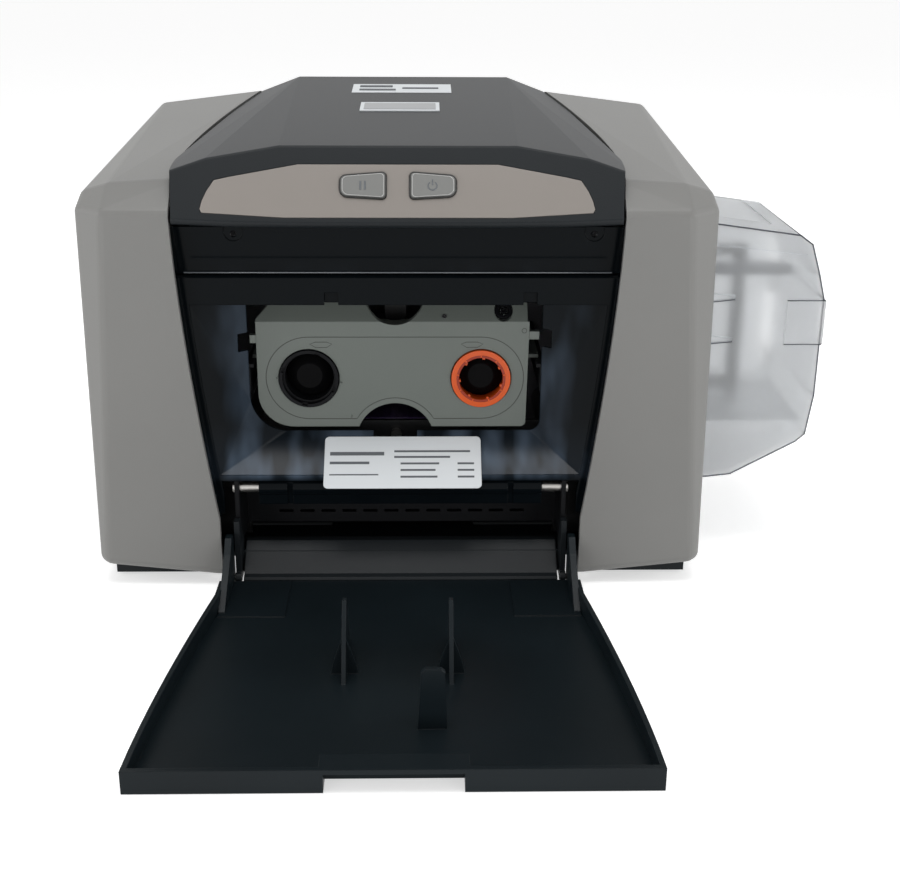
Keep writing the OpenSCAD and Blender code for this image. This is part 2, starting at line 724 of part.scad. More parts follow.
module cartridge_frame() place() color([0.42, 0.43, 0.41]) difference() {
  union() {
    slab_y(cart_y, cart_y + 3) cart_outline(0);
    // sloping top above the knee
    difference() {
      slab_x(cart_left, cart_right - 2)
        polygon([[cart_y, cart_knee], [cart_y + 11, cart_knee + 11], [cart_y + 15, cart_knee + 11],
          [cart_y + 2, cart_knee - 3]]);
      slab_y(cart_y - 1, cart_y + 30)
        polygon([[cart_left - 1, cart_knee], [cart_left + 11, cart_knee + 12],
          [cart_left - 1, cart_knee + 12]]);
    }
    // skirt behind the plate
    slab_y(cart_y + 2, lobe_y + 1) difference() {
      cart_outline(1.2);
      cart_outline(3.4);
    }
    // lobes round the two spools
    lobe(supply_x, supply_x + 26.4, 27);
    lobe(takeup_x, takeup_x - 24, 24);
    // ribs that slide on the rails
    block([bay_left + 0.6, lobe_y, rail_z], [supply_x - 25, cart_back, rail_z + 2]);
    block([takeup_x + 21, lobe_y, rail_z], [bay_right - 0.6, cart_back, rail_z + 2]);
    // ears that the bay's latches hold
    block([cart_left - 3.4, cart_y + 0.2, 127], [cart_left + 2, cart_y + 4, 131.5]);
    block([cart_right - 4, cart_y + 0.2, 129], [cart_right + 4.4, cart_y + 4, 133.5]);
  }
  for (x = [supply_x, takeup_x]) bar_along_y(x, spool_z, core_r + 0.5, cart_y - 1, lobe_y + 6);
  // panel line round both spools
  slab_y(cart_y - 1, cart_y + 0.5) difference() {
    cart_outline(6);
    cart_outline(6.8);
  }
  // finger recess at the top, hole for the ribbon's marker and small screw
  bar_along_y(arch_x, cart_knee + 15.5, 17.3, cart_y - 1, cart_y + 40);
  bar_along_y(cart_right - 15, cart_knee + 5, 5, cart_y - 1, cart_y + 12);
}

// A rounded half shell round a spool, open towards the print head at inner_x
module lobe(x, inner_x, r) {
  s = sign(inner_x - x);
  difference() {
    union() {
      bar_along_y(x, spool_z, r, lobe_y - 1, cart_back);
      block([min(x, inner_x), lobe_y - 1, spool_z], [max(x, inner_x), cart_back, spool_z + r]);
    }
    bar_along_y(x, spool_z, r - 2, lobe_y + 1.5, cart_back - 2.5);
    block([min(x, inner_x + s * 9), lobe_y + 1.5, cart_low - 5],
      [max(x, inner_x + s * 9), cart_back - 2.5, spool_z + r - 2]);
    block([min(inner_x, inner_x + s * 9), lobe_y - 2, cart_low - 5],
      [max(inner_x, inner_x + s * 9), cart_back + 1, spool_z + r + 5]);
    bar_along_y(x, spool_z, core_r + 0.5, lobe_y - 5, cart_back + 1);
  }
}

film_z = cart_low + 0.8;
module ribbon_film() place() color([0.2, 0.14, 0.3])
  slab_y(lobe_y + 3, cart_back - 4) polygon([
    [supply_x, spool_z - supply_roll_r + 0.1], [supply_x + 26, film_z], [takeup_x - 22, film_z],
    [takeup_x, spool_z - takeup_roll_r + 0.1], [takeup_x, spool_z - takeup_roll_r - 0.2],
      [takeup_x - 21.8, film_z - 0.3],
    [supply_x + 25.8, film_z - 0.3], [supply_x, spool_z - supply_roll_r - 0.2]]);

module spool_core(x, lip_r) difference() {
  bar_along_y(x, spool_z, core_r, core_front, cart_back + 0.5);
  bar_along_y(x, spool_z, core_bore_r, core_front + 3, cart_back + 1);
  bar_along_y(x, spool_z, lip_r, core_front - 1, core_front + 4);
  // drive slots at the rear end
  for (a = [0:60:300]) translate([x, 0, spool_z]) rotate([0, a, 0])
    block([core_bore_r - 1, cart_back - 5, -1.2], [core_r - 1, cart_back + 1, 1.2]);
}

module supply_core() place() color([0.07, 0.07, 0.07]) difference() {
  spool_core(supply_x, core_bore_r + 1);
  for (a = [25, 100, 200, 290]) translate([supply_x, 0, spool_z]) rotate([0, a, 0])
    block([core_bore_r, core_front - 1, -1.5], [core_r - 0.8, core_front + 2, 1.5]);
}

module takeup_core() place() color([0.93, 0.35, 0.12]) {
  spool_core(takeup_x, core_bore_r - 1.4);
  for (a = [0:360 / 7:359]) translate([takeup_x, 0, spool_z]) rotate([0, a + 20, 0])
    block([core_bore_r - 2.3, core_front + 0.4, -0.7], [core_bore_r - 1, core_front + 2.6, 0.7]);
}

module ribbon_roll(x, r) difference() {
  bar_along_y(x, spool_z, r, lobe_y + 3, cart_back - 4);
  bar_along_y(x, spool_z, core_r, lobe_y, cart_back);
}

module supply_ribbon() place() color([0.2, 0.14, 0.3]) ribbon_roll(supply_x, supply_roll_r - 0.3);

module takeup_ribbon() place() color([0.25, 0.18, 0.3]) ribbon_roll(takeup_x, takeup_roll_r - 0.3);

// Rails that the cartridge slides on
module cartridge_rails() place() color([0.08, 0.08, 0.09]) {
  y1 = rear_plate_y;
  slab_y(bay_y + 0.5, y1) polygon([[bay_left + 0.4, 100], [bay_left - 2, 100], [bay_left - 2, rail_z],
    [bay_left + 2.5, rail_z],
    [bay_left + 2.5, rail_z - 2], [bay_left + 0.4, rail_z - 2]]);
  slab_y(bay_y + 0.5, y1) polygon([[bay_right - 0.4, 100], [bay_right + 2, 100],
    [bay_right + 2, rail_z], [bay_right - 2.5, rail_z],
    [bay_right - 2.5, rail_z - 2], [bay_right - 0.4, rail_z - 2]]);
}

/* Chassis and drive */

// Tooth outline of a gear in its own plane
module gear_outline(teeth, phase) {
  rp = gear_m * teeth / 2;
  ra = rp + gear_m * 0.85;
  rf = rp - gear_m * 1.2;
  pitch = 360 / teeth;
  polygon([for (i = [0:teeth - 1], k = [[-0.31, rf], [-0.12, ra], [0.12, ra], [0.31, rf]])
    let (a = (i + k[0]) * pitch + phase) [k[1] * cos(a), k[1] * sin(a)]]);
}

module gear(x, z, teeth, phase, y0, w, bore) difference() {
  translate([x, 0, z]) slab_y(y0, y0 + w) gear_outline(teeth, phase);
  if (bore > 0) bar_along_y(x, z, bore, y0 - 1, y0 + w + 1);
}

module chassis_holes(y) {
  for (x = [transport_x, platen_x, feed_x, pick_x]) bar_along_y(x, roller_z, shaft_r + run_gap, y - 5,
    y + 5);
  for (x = [transport_x, feed_x, clean_x]) bar_along_y(x, pinch_z, 2 + run_gap, y - 5, y + 5);
}

module front_chassis_plate() place() color([0.62, 0.63, 0.64]) difference() {
  union() {
    block([transport_x - 16, front_plate_y, base_wall_h + 5],
      [side_x - 12, front_plate_y + plate_steel, cart_low - 4]);
    block([transport_x - 16, front_plate_y, 70], [bay_left - 3, front_plate_y + plate_steel,
      cart_low + 12]);
    block([bay_right + 3, front_plate_y, 70], [clean_x + 10, front_plate_y + plate_steel, cart_low + 12]);
    block([transport_x - 16, front_plate_y, 5.0], [transport_x + 4, front_plate_y + plate_steel, 30]);
    block([feed_x, front_plate_y, 5.0], [feed_x + 20, front_plate_y + plate_steel, 30]);
  }
  chassis_holes(front_plate_y);
}

module rear_chassis_plate() place() color([0.62, 0.63, 0.64]) difference() {
  union() {
    block([transport_x - 16, rear_plate_y, 5.0], [clean_x + 10, rear_plate_y + plate_steel, 186]);
    block([clean_x, rear_plate_y, base_wall_h + 5], [side_x - 12, rear_plate_y + plate_steel,
      cart_low - 4]);
  }
  chassis_holes(rear_plate_y);
  for (x = [supply_x, takeup_x]) bar_along_y(x, spool_z, 4 + run_gap, rear_plate_y - 1, rear_plate_y + 5);
  bar_along_y(lift_x, lift_z, 2 + run_gap, rear_plate_y - 1, rear_plate_y + 5);
}

module gear_plate() place() color([0.6, 0.6, 0.62]) difference() {
  block([supply_x - 14, gear_plate_y, 5.0], [takeup_x + 40, gear_plate_y + plate_steel, spool_z + 18]);
  for (x = [supply_x, takeup_x]) bar_along_y(x, spool_z, 4 + run_gap, gear_plate_y - 1, gear_plate_y + 5);
  bar_along_y(platen_x, roller_z, shaft_r + run_gap, gear_plate_y - 1, gear_plate_y + 5);
  bar_along_y(takeup_x + gear_dist, spool_z, 6, gear_plate_y - 1, gear_plate_y + 5);
  bar_along_y(platen_x, roller_z - gear_dist, 6, gear_plate_y - 1, gear_plate_y + 5);
}

module spindle(x) {
  bar_along_y(x, spool_z, 4, rear_plate_y - 2, gear_plate_y + plate_steel - 0.1);
  hub_y = core_front + 11;
  bar_along_y(x, spool_z, core_bore_r - 0.8, hub_y, rear_plate_y - 0.5);
  translate([x, hub_y, spool_z]) rotate([90, 0, 0])
    cylinder(r1 = core_bore_r - 0.8, r2 = 7, h = 5);
}

module supply_spindle() place() color([0.2, 0.2, 0.22]) {
  spindle(supply_x);
  bar_along_y(supply_x, spool_z, 14, gear_y, gear_y + 4);
}

module takeup_spindle() place() color([0.2, 0.2, 0.22]) spindle(takeup_x);

module takeup_gear() place() color([0.9, 0.9, 0.88])
  gear(takeup_x, spool_z, big_teeth, 0, gear_y, gear_w, 4);

// A small stepper motor whose face is at y
module stepper(x, z, y) {
  difference() {
    round_block([x - 17.5, y, z - 17.5], [x + 17.5, y + 30, z + 17.5], 3);
    bar_along_y(x, z, 2 + run_gap, y - 1, y + 20);
  }
}

module pinion(x, z, phase) {
  gear(x, z, small_teeth, phase, gear_y, gear_w, 0);
  bar_along_y(x, z, 2, gear_y + gear_w - eps, gear_plate_y + plate_steel + 18);
}

module ribbon_motor() place() color([0.3, 0.3, 0.31]) stepper(takeup_x + gear_dist, spool_z,
  gear_plate_y + plate_steel);

module ribbon_pinion() place() color([0.8, 0.7, 0.4])
  pinion(takeup_x + gear_dist, spool_z, 180 + 180 / small_teeth);

module feed_motor() place() color([0.3, 0.3, 0.31]) stepper(platen_x, roller_z - gear_dist,
  gear_plate_y + plate_steel);

module motor_pinion() place() color([0.8, 0.7, 0.4])
  pinion(platen_x, roller_z - gear_dist, 90 + 180 / small_teeth);

module rubber_sleeve(x) difference() {
  bar_along_y(x, roller_z, roller_r, front_plate_y + plate_steel + 2, rear_plate_y - 2);
  bar_along_y(x, roller_z, shaft_r, front_plate_y, rear_plate_y);
}

module roller_shaft(x, y1) {
  bar_along_y(x, roller_z, shaft_r, front_plate_y - 3, y1);
  difference() {
    bar_along_y(x, roller_z, pulley_r - 0.2, pulley_y, pulley_y + pulley_w);
    bar_along_y(x, roller_z, shaft_r - 1, pulley_y - 1, pulley_y);
  }
}

module platen_roller() place() color([0.12, 0.12, 0.13]) rubber_sleeve(platen_x);
module platen_shaft() place() color([0.75, 0.75, 0.76]) roller_shaft(platen_x,
  gear_plate_y + plate_steel - 0.1);
module platen_gear() place() color([0.9, 0.9, 0.88])
  gear(platen_x, roller_z, big_teeth, 90, gear_y, gear_w, shaft_r);
module feed_roller() place() color([0.15, 0.15, 0.16]) rubber_sleeve(feed_x);
module feed_shaft() place() color([0.75, 0.75, 0.76]) roller_shaft(feed_x, pulley_y + pulley_w + 1);
module transport_roller() place() color([0.15, 0.15, 0.16]) rubber_sleeve(transport_x);
module transport_shaft() place() color([0.75, 0.75, 0.76]) roller_shaft(transport_x,
  pulley_y + pulley_w + 1);
module pick_roller() place() color([0.15, 0.15, 0.16]) rubber_sleeve(pick_x);
module pick_shaft() place() color([0.75, 0.75, 0.76]) roller_shaft(pick_x, pulley_y + pulley_w + 1);

// Belt round the four roller pulleys
module drive_belt() place() color([0.1, 0.1, 0.1]) slab_y(pulley_y + 0.8, pulley_y + pulley_w - 0.8)
  difference() {
  belt_loop(pulley_r + belt_t);
  belt_loop(pulley_r);
}

module belt_loop(r) {
  translate([transport_x, roller_z]) circle(r, $fn = 64);
  translate([pick_x, roller_z]) circle(r, $fn = 64);
  translate([transport_x, roller_z - r]) square([pick_x - transport_x, 2 * r]);
}

module small_roller(x, r) {
  bar_along_y(x, pinch_z, r, front_plate_y + plate_steel + 3, rear_plate_y - 3);
  bar_along_y(x, pinch_z, 2, front_plate_y - 2, rear_plate_y + plate_steel + 0.8);
}

module feed_pinch_roller() place() color([0.5, 0.5, 0.52]) small_roller(feed_x, pinch_r);
module transport_pinch_roller() place() color([0.5, 0.5, 0.52]) small_roller(transport_x, pinch_r);
module cleaning_roller() place() color([0.75, 0.2, 0.35]) small_roller(clean_x, pinch_r);

/* Print head */

head_low = film_z + 0.4 + head_travel;
head_top = spool_z + 36;
head_y0 = front_plate_y + plate_steel + 4;
head_y1 = rear_plate_y - 6;
head_mid_y = (head_y0 + head_y1) / 2;
column_x = 15;
lift_r = gear_m * small_teeth / 2;
lift_z = head_top + 14;
lift_x = platen_x + lift_r;
bridge_z = head_top + 34;
tooth = PI * gear_m;

module print_head() place() color([0.8, 0.8, 0.82]) {
  block([platen_x - 6, head_y0, head_low + 1], [platen_x + 6, head_y1, head_low + 6]);
  bar_along_y(platen_x, head_low + 1.4, 1.4, head_y0 + 1, head_y1 - 1);
}

module head_carrier() place() color([0.5, 0.5, 0.52]) difference() {
  union() {
    block([platen_x - 6, head_y0, head_low + 6], [platen_x + 6, head_y1, head_top]);
    block([platen_x - column_x - 5, head_mid_y - 6, head_top - 12],
      [platen_x + column_x + 5, head_mid_y + 6, head_top]);
    // toothed rack that lifts the head
    slab_y(head_y1 - 8, head_y1 - 1) rack_outline(head_top - eps, head_top + 24);
  }
  block([platen_x - 3, head_y0 - 1, head_low + 18], [platen_x + 3, head_y1 + 1, head_top - 16]);
  for (x = [-column_x, column_x]) translate([platen_x + x, head_mid_y, head_top - 20])
    cylinder(r = 2.5 + run_gap, h = 30);
}

// A rack with its teeth towards the right, in mesh with a pinion at lift_z
module rack_outline(z0, z1) {
  translate([platen_x - 5, z0]) square([5 - gear_m * 1.2, z1 - z0]);
  for (k = [-5:3]) translate([platen_x, lift_z + (k + 0.5) * tooth]) polygon([
    [-gear_m * 1.2 - eps, -0.31 * tooth], [gear_m * 0.85, -0.12 * tooth],
    [gear_m * 0.85, 0.12 * tooth], [-gear_m * 1.2 - eps, 0.31 * tooth]]);
}

module head_pinion() place() color([0.88, 0.86, 0.8]) {
  gear(lift_x, lift_z, small_teeth, 0, head_y1 - 9, 9, 0);
  bar_along_y(lift_x, lift_z, 2, head_y1 - eps, rear_plate_y + plate_steel + 18);
}

module head_motor() place() color([0.3, 0.3, 0.31]) stepper(lift_x, lift_z, rear_plate_y + plate_steel);

module head_bridge() place() color([0.62, 0.63, 0.64]) {
  for (x = [-column_x, column_x]) translate([platen_x + x, head_mid_y, head_top - 20])
    cylinder(r = 2.5, h = bridge_z - head_top + 20 + eps);
  block([platen_x - 24, head_mid_y - 8, bridge_z], [platen_x + 24, rear_plate_y, bridge_z + 3]);
  block([platen_x - 24, rear_plate_y - 2, bridge_z - 10], [platen_x + 24, rear_plate_y, bridge_z + 3]);
}

/* Electronics */

board_z = 20;
inlet_x = -58;
usb_x = -20;
board_bosses = [[-78, 40], [gear_plate_y + 12.5, case_d - 23]];

module main_board() place() color([0.1, 0.35, 0.2]) {
  difference() {
    block([-84, gear_plate_y + 6.5, board_z], [46, case_d - wall - 6, board_z + 1.6]);
    for (x = board_bosses[0], y = board_bosses[1]) translate([x, y, board_z - 1])
      cylinder(r = 1.6, h = 5);
  }
  block([-50, case_d - 42, board_z + 1.6 - eps], [-22, case_d - 28, board_z + 4]);
  block([0, case_d - 38, board_z + 1.6 - eps], [30, case_d - 32, board_z + 12]);
  mid_y = (board_bosses[1][0] + board_bosses[1][1]) / 2;
  for (x = [-70, 15]) translate([x, mid_y, board_z + 1.6 - eps]) cylinder(r = 6, h = 14);
}

module power_inlet() place() color([0.1, 0.1, 0.1]) difference() {
  union() {
    bar_along_y(inlet_x, board_z + 8, 6, case_d - 16, case_d - 0.6);
    block([inlet_x - 7, case_d - 24, board_z + 1.6], [inlet_x + 7, case_d - wall - 0.4, board_z + 14]);
  }
  bar_along_y(inlet_x, board_z + 8, 4.2, case_d - 12, case_d + 1);
}

module usb_socket() place() color([0.7, 0.7, 0.72]) difference() {
  block([usb_x - 6, case_d - 20, board_z + 1.6], [usb_x + 6, case_d - 0.6, board_z + 13]);
  block([usb_x - 4.2, case_d - 14, board_z + 3.4], [usb_x + 4.2, case_d + 1, board_z + 11.2]);
}

/* Card hopper */

// Outline of the hopper from the front, drawn in by t
module hopper_outline(t) polygon([
  [hop_x0 - 2, hopper_low + t], [hop_x0 + 11, hopper_low + t], [hop_x0 + 25 - t * 0.3, hopper_low + 1.6 + t],
  [hop_x1 - t * 0.7 - 8, hopper_low + 21.5 + t], [hop_x1 - t - 3, hopper_low + 26 + t * 0.5],
  [hop_x1 - t, 92], [hop_x1 - t, 148], [hop_x1 - t - 3.5, 161],
  [hop_x1 - t * 0.9 - 9, hopper_top - 12.5 - t * 0.3], [hop_x1 - 16 - t * 0.4, hopper_top - 7.4 - t],
  [hop_x0 - 2, hopper_top - t]]);

hop_seam = hopper_front + 24;

module hopper_cover() place() color([0.75, 0.78, 0.8, 0.45]) difference() {
  union() {
    slab_y(hopper_front, hopper_rear - 4) hopper_outline(0);
    // grip ribs
    for (z = [125, 149]) slab_y(hopper_front - 1.2, hopper_front + eps)
      polygon([[hop_x0 + 3, z - 2.4], [hop_x0 + 20, z - 0.6], [hop_x0 + 20, z + 0.6],
        [hop_x0 + 3, z + 2.4]]);
    // raised band round the outer corner
    slab_y(hopper_front - 1, hopper_front + 14) polygon([[hop_x1 - 20, 122], [hop_x1 + 1.4, 122],
      [hop_x1 + 1.4, 147], [hop_x1 - 20, 147]]);
    for (z = hop_knuckles) hinge_knuckle(z + 9, 8);
  }
  slab_y(hopper_front + clear_t, hopper_rear + 5) hopper_outline(clear_t);
  block([hop_x0 - 5, hopper_front - 5, 0], [hop_x0 + seam, hopper_rear + 5, 200]);
  block([hop_x0 - 5, hop_seam, hopper_top - 14], [hop_x1 - 26, hopper_rear + 5, 200]);
  translate([hop_hinge_x, hop_hinge_y, 0]) cylinder(r = hopper_pin_r + run_gap, h = 200);
}

hop_knuckles = [72, 128];
module hinge_knuckle(z, h) {
  translate([hop_hinge_x, hop_hinge_y, z]) cylinder(r = 3, h = h);
  translate([hop_hinge_x - 1, hop_hinge_y - 6, z]) cube([4, 6, h]);
}

module hopper_shell() place() color([0.75, 0.78, 0.8, 0.45]) difference() {
  union() {
    intersection() {
      slab_y(hop_seam + seam, hopper_rear) hopper_outline(0);
      union() {
        difference() {
          block([hop_x0, hopper_front, hopper_top - 20], [hop_x1 - 27, hopper_rear + 1, hopper_top + 1]);
          slab_y(hopper_front, hopper_rear + 2) hopper_outline(clear_t);
        }
        block([hop_x0, hopper_rear - clear_t, hopper_low - 1], [hop_x1 - 8, hopper_rear + 1, hopper_top + 1]);
      }
    }
    // shelf that the stack of cards lies on
    block([hop_x0, card_y - card_w / 2 - 3, path_z - 2.5], [stack_x1, hopper_rear - eps, path_z - 0.5]);
    for (z = hop_knuckles) {
      translate([hop_hinge_x, hop_hinge_y, z]) cylinder(r = 3, h = 8.7);
      translate([hop_hinge_x - 9, hop_hinge_y - 3, z]) cube([9, 3, 8.7]);
    }
  }
  translate([hop_hinge_x, hop_hinge_y, 0]) cylinder(r = hopper_pin_r + 0.02, h = 200);
}

module hopper_hinge_pin() place() color([0.7, 0.7, 0.7]) for (z = hop_knuckles)
  translate([hop_hinge_x, hop_hinge_y, z - 1]) cylinder(r = hopper_pin_r, h = 20);

post_x = hop_x0 + 34;
post_y = card_y + card_w / 2 + 0.6;

module hopper_frame() place() color([0.3, 0.31, 0.32]) difference() {
  union() {
    // collar through the case wall
    block([side_x - 8, front_plate_y + 2.5, hopper_low + 4.5],
      [hop_x0 + 4, rear_plate_y - 1.5, weight_z + 11.5]);
    // post that guides the card weight, held by three arms
    block([post_x, post_y, hopper_low + 14.5], [post_x + 7, post_y + 6, weight_z + 11]);
    for (z = [hopper_low + 14.5, path_z, weight_z + 5])
      block([side_x, post_y, z], [post_x + 3, post_y + 2.4, z + 6]);
  }
  // groove that guides the card weight
  block([post_x + 1.3, post_y - 1, path_z + 2], [post_x + 5.7, post_y + 3, weight_z + 5.2]);
  // input throat, output throat and a seat for the shelf
  block([side_x - 20, card_y - card_w / 2 - 0.6, path_z - 0.5], [hop_x1, post_y, weight_z + 9]);
  block([side_x - 20, card_y - card_w / 2 - 0.6, hopper_low + 8], [hop_x1, post_y, path_z - 3]);
  block([side_x, card_y - card_w / 2 - 4, path_z - 2.6], [hop_x1, hopper_rear, path_z - 0.4]);
}

module card_weight() place() color([0.15, 0.16, 0.18]) {
  block([hop_x0 + 5, card_y - 2, weight_z], [hop_x1 - 8, card_y + 14, weight_z + 4.5]);
  block([post_x + 1.5, card_y + 10, weight_z], [post_x + 5.5, post_y + 2.8, weight_z + 4.5]);
}

/* Fasteners */

module case_screws() place() color([0.5, 0.5, 0.5])
  for (x = [-boss_x, boss_x], y = boss_ys) translate([x, y, foot_h]) {
    translate([0, 0, 0.2]) cylinder(r = screw_head_r, h = screw_seat - 0.2);
    translate([0, 0, 0.2]) cylinder(r = 1.4, h = 24);
  }

base_tray();
rubber_feet();
left_case();
right_case();
top_cover();
rear_panel();
control_plate();
button_board();
pause_button();
power_button();
front_frame();
lower_guard();
tie_rod();
rod_sleeve();
front_cover();
cover_hinge_pins();
cartridge_frame();
ribbon_film();
supply_core();
supply_ribbon();
takeup_core();
takeup_ribbon();
cartridge_rails();
front_chassis_plate();
rear_chassis_plate();
gear_plate();
supply_spindle();
takeup_spindle();
takeup_gear();
ribbon_motor();
ribbon_pinion();
platen_roller();
platen_shaft();
platen_gear();
feed_roller();
feed_shaft();
transport_roller();
transport_shaft();
pick_roller();
pick_shaft();
drive_belt();
feed_motor();
motor_pinion();
feed_pinch_roller();
transport_pinch_roller();
cleaning_roller();
head_carrier();
print_head();
head_bridge();
head_pinion();
head_motor();
main_board();
power_inlet();
usb_socket();
hopper_frame();
hopper_shell();
hopper_cover();
hopper_hinge_pin();
card_weight();
case_screws();
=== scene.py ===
import json
import math

import bmesh
import bpy
from mathutils import Matrix, Vector


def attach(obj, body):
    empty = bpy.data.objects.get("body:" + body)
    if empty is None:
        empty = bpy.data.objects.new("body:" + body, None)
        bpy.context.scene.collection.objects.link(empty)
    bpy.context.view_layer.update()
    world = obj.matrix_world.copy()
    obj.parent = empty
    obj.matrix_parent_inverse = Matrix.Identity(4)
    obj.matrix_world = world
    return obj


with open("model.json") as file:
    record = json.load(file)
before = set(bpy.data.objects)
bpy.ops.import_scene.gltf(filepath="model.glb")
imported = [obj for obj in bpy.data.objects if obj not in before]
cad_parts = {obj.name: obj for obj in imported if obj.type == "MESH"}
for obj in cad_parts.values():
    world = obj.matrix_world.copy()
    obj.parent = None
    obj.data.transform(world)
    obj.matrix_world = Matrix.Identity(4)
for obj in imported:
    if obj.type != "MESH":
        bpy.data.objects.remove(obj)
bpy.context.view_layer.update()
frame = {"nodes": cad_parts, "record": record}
nodes = frame["nodes"]

# Sizes are in millimetres, but in metres for materials, lamps and the floor
MM = 0.001
FRONT_Y = -115  # the silver front face, in the part's own frame

RIGHT = Vector((1, 0, 0))
UP = Vector((0, 0, 1))
FORWARD = Vector((0, -1, 0))


def point(x, y, z):
    """A place as in the CAD model: x from the middle, y back from the front face, z above the table."""
    return Vector((x * MM, (FRONT_Y + y) * MM, z * MM))


def arc(x, z, radius, start, end, steps):
    """Points of an arc in a plane, angles in degrees from the first axis to the second."""
    turns = [math.radians(start + (end - start) * i / steps) for i in range(steps + 1)]
    return [(x + radius * math.cos(t), z + radius * math.sin(t)) for t in turns]


def circle(x, z, radius, steps):
    return arc(x, z, radius, 0, 360, steps)[:-1]


# Camera, fitted to the photograph, with its angles in radians
FOCAL_PX = 1340.8
PHOTO_WIDTH_PX = 900
SENSOR_WIDTH = 36.0
CAMERA_AT = (12.36, -662.1, 334.2)
PITCH = 0.3587
YAW = -0.0213
ROLL = -0.0055
CLIP_START_M = 0.01
CLIP_END_M = 50


def make_camera():
    data = bpy.data.cameras.new("photo_camera")
    data.sensor_width = SENSOR_WIDTH
    data.lens = FOCAL_PX / PHOTO_WIDTH_PX * SENSOR_WIDTH
    data.clip_start = CLIP_START_M
    data.clip_end = CLIP_END_M
    camera = bpy.data.objects.new("photo_camera", data)
    right = Vector((math.cos(YAW), math.sin(YAW), 0))
    level = Vector((-math.sin(YAW), math.cos(YAW), 0))
    ahead = level * math.cos(PITCH) - UP * math.sin(PITCH)
    up = level * math.sin(PITCH) + UP * math.cos(PITCH)
    turned_right = right * math.cos(ROLL) - up * math.sin(ROLL)
    turned_up = right * math.sin(ROLL) + up * math.cos(ROLL)
    turn = Matrix((turned_right, turned_up, -ahead)).transposed()
    camera.matrix_world = Matrix.Translation(point(*CAMERA_AT)) @ turn.to_4x4()
    bpy.context.scene.collection.objects.link(camera)
    bpy.context.scene.camera = camera


# Node helpers: each adds its nodes to a tree and gives their last output


def object_place(tree):
    return tree.nodes.new("ShaderNodeTexCoord").outputs["Object"]


def noise(tree, place, scale, detail):
    node = tree.nodes.new("ShaderNodeTexNoise")
    node.inputs["Scale"].default_value = scale
    node.inputs["Detail"].default_value = detail
    tree.links.new(place, node.inputs["Vector"])
    return node.outputs["Fac"]


def map_range(tree, value, before, after):
    """Turns the range before into the range after, and stops at its ends."""
    node = tree.nodes.new("ShaderNodeMapRange")
    node.inputs["From Min"].default_value, node.inputs["From Max"].default_value = before
    node.inputs["To Min"].default_value, node.inputs["To Max"].default_value = after
    tree.links.new(value, node.inputs["Value"])
    return node.outputs["Result"]


def combine(tree, operation, first, second):
    node = tree.nodes.new("ShaderNodeMath")
    node.operation = operation
    tree.links.new(first, node.inputs[0])
    tree.links.new(second, node.inputs[1])
    return node.outputs[0]


def mix_colors(tree, share, first, second):
    node = tree.nodes.new("ShaderNodeMixRGB")
    node.inputs["Color1"].default_value = (*first, 1)
    node.inputs["Color2"].default_value = (*second, 1)
    tree.links.new(share, node.inputs["Fac"])
    return node.outputs["Color"]


def mix_shaders(tree, share, first, second):
    node = tree.nodes.new("ShaderNodeMixShader")
    for i, source in enumerate((share, first, second)):
        tree.links.new(source, node.inputs[i])
    return node.outputs[0]


def seen_by_camera(tree):
    """1 for what the camera sees, also in gloss and through clear plastic, and 0 for the part's light."""
    path = tree.nodes.new("ShaderNodeLightPath")
    seen = combine(tree, "MAXIMUM", path.outputs["Is Camera Ray"], path.outputs["Is Glossy Ray"])
    return combine(tree, "MAXIMUM", seen, path.outputs["Is Transmission Ray"])


# Materials

COAT_ROUGHNESS = 0.08
EDGE_RADIUS = 0.0005
POLISHED_EDGE_RADIUS = 0.0007
BEVEL_SAMPLES = 4

# Noise scales are counts of swells per metre
FINE_GRAIN_SCALE = 1800
COARSE_GRAIN_SCALE = 900
GRAIN_DETAIL = 3
GRAIN_HEIGHT = 0.0002
ROUGHNESS_SPREAD = 0.04
METAL_ROUGHNESS_SPREAD = 0.05
METAL_GRAIN = 0.05
CLEAR_GRAIN = 0.08
TONE_SCALE = 14
TONE_DETAIL = 4
CLEAR_TONE_SCALE = 20
CLEAR_TONE = 0.05
CLEAR_IOR = 1.12


def new_material(name, color, roughness, metallic=0.0, coat=0.0, specular=0.5):
    material = bpy.data.materials.new(name)
    material.use_nodes = True
    values = {
        "Base Color": (*color, 1),
        "Roughness": roughness,
        "Metallic": metallic,
        "Coat Weight": coat,
        "Coat Roughness": COAT_ROUGHNESS,
        "Specular IOR Level": specular}
    shader = material.node_tree.nodes["Principled BSDF"]
    for socket, value in values.items():
        shader.inputs[socket].default_value = value
    return material


def soften_edges(material, radius):
    """Rounds the edges for the light alone, as on every moulding."""
    tree = material.node_tree
    edge = tree.nodes.new("ShaderNodeBevel")
    edge.samples = BEVEL_SAMPLES
    edge.inputs["Radius"].default_value = radius
    bumps = [node for node in tree.nodes if node.bl_idname == "ShaderNodeBump"]
    target = bumps[0] if bumps else tree.nodes["Principled BSDF"]
    tree.links.new(edge.outputs["Normal"], target.inputs["Normal"])


def vary_color(material, scale, amount):
    """Slow changes of lightness: slight ones, as handling and dust leave, and with a large amount strong
    ones that stand as painted reflection patches, as on navy_black.
    """
    tree = material.node_tree
    target = tree.nodes["Principled BSDF"].inputs["Base Color"]
    color = target.default_value[:3]
    share = noise(tree, object_place(tree), scale, TONE_DETAIL)
    darker = [c * (1 - amount) for c in color]
    lighter = [c * (1 + amount) for c in color]
    tree.links.new(mix_colors(tree, share, darker, lighter), target)


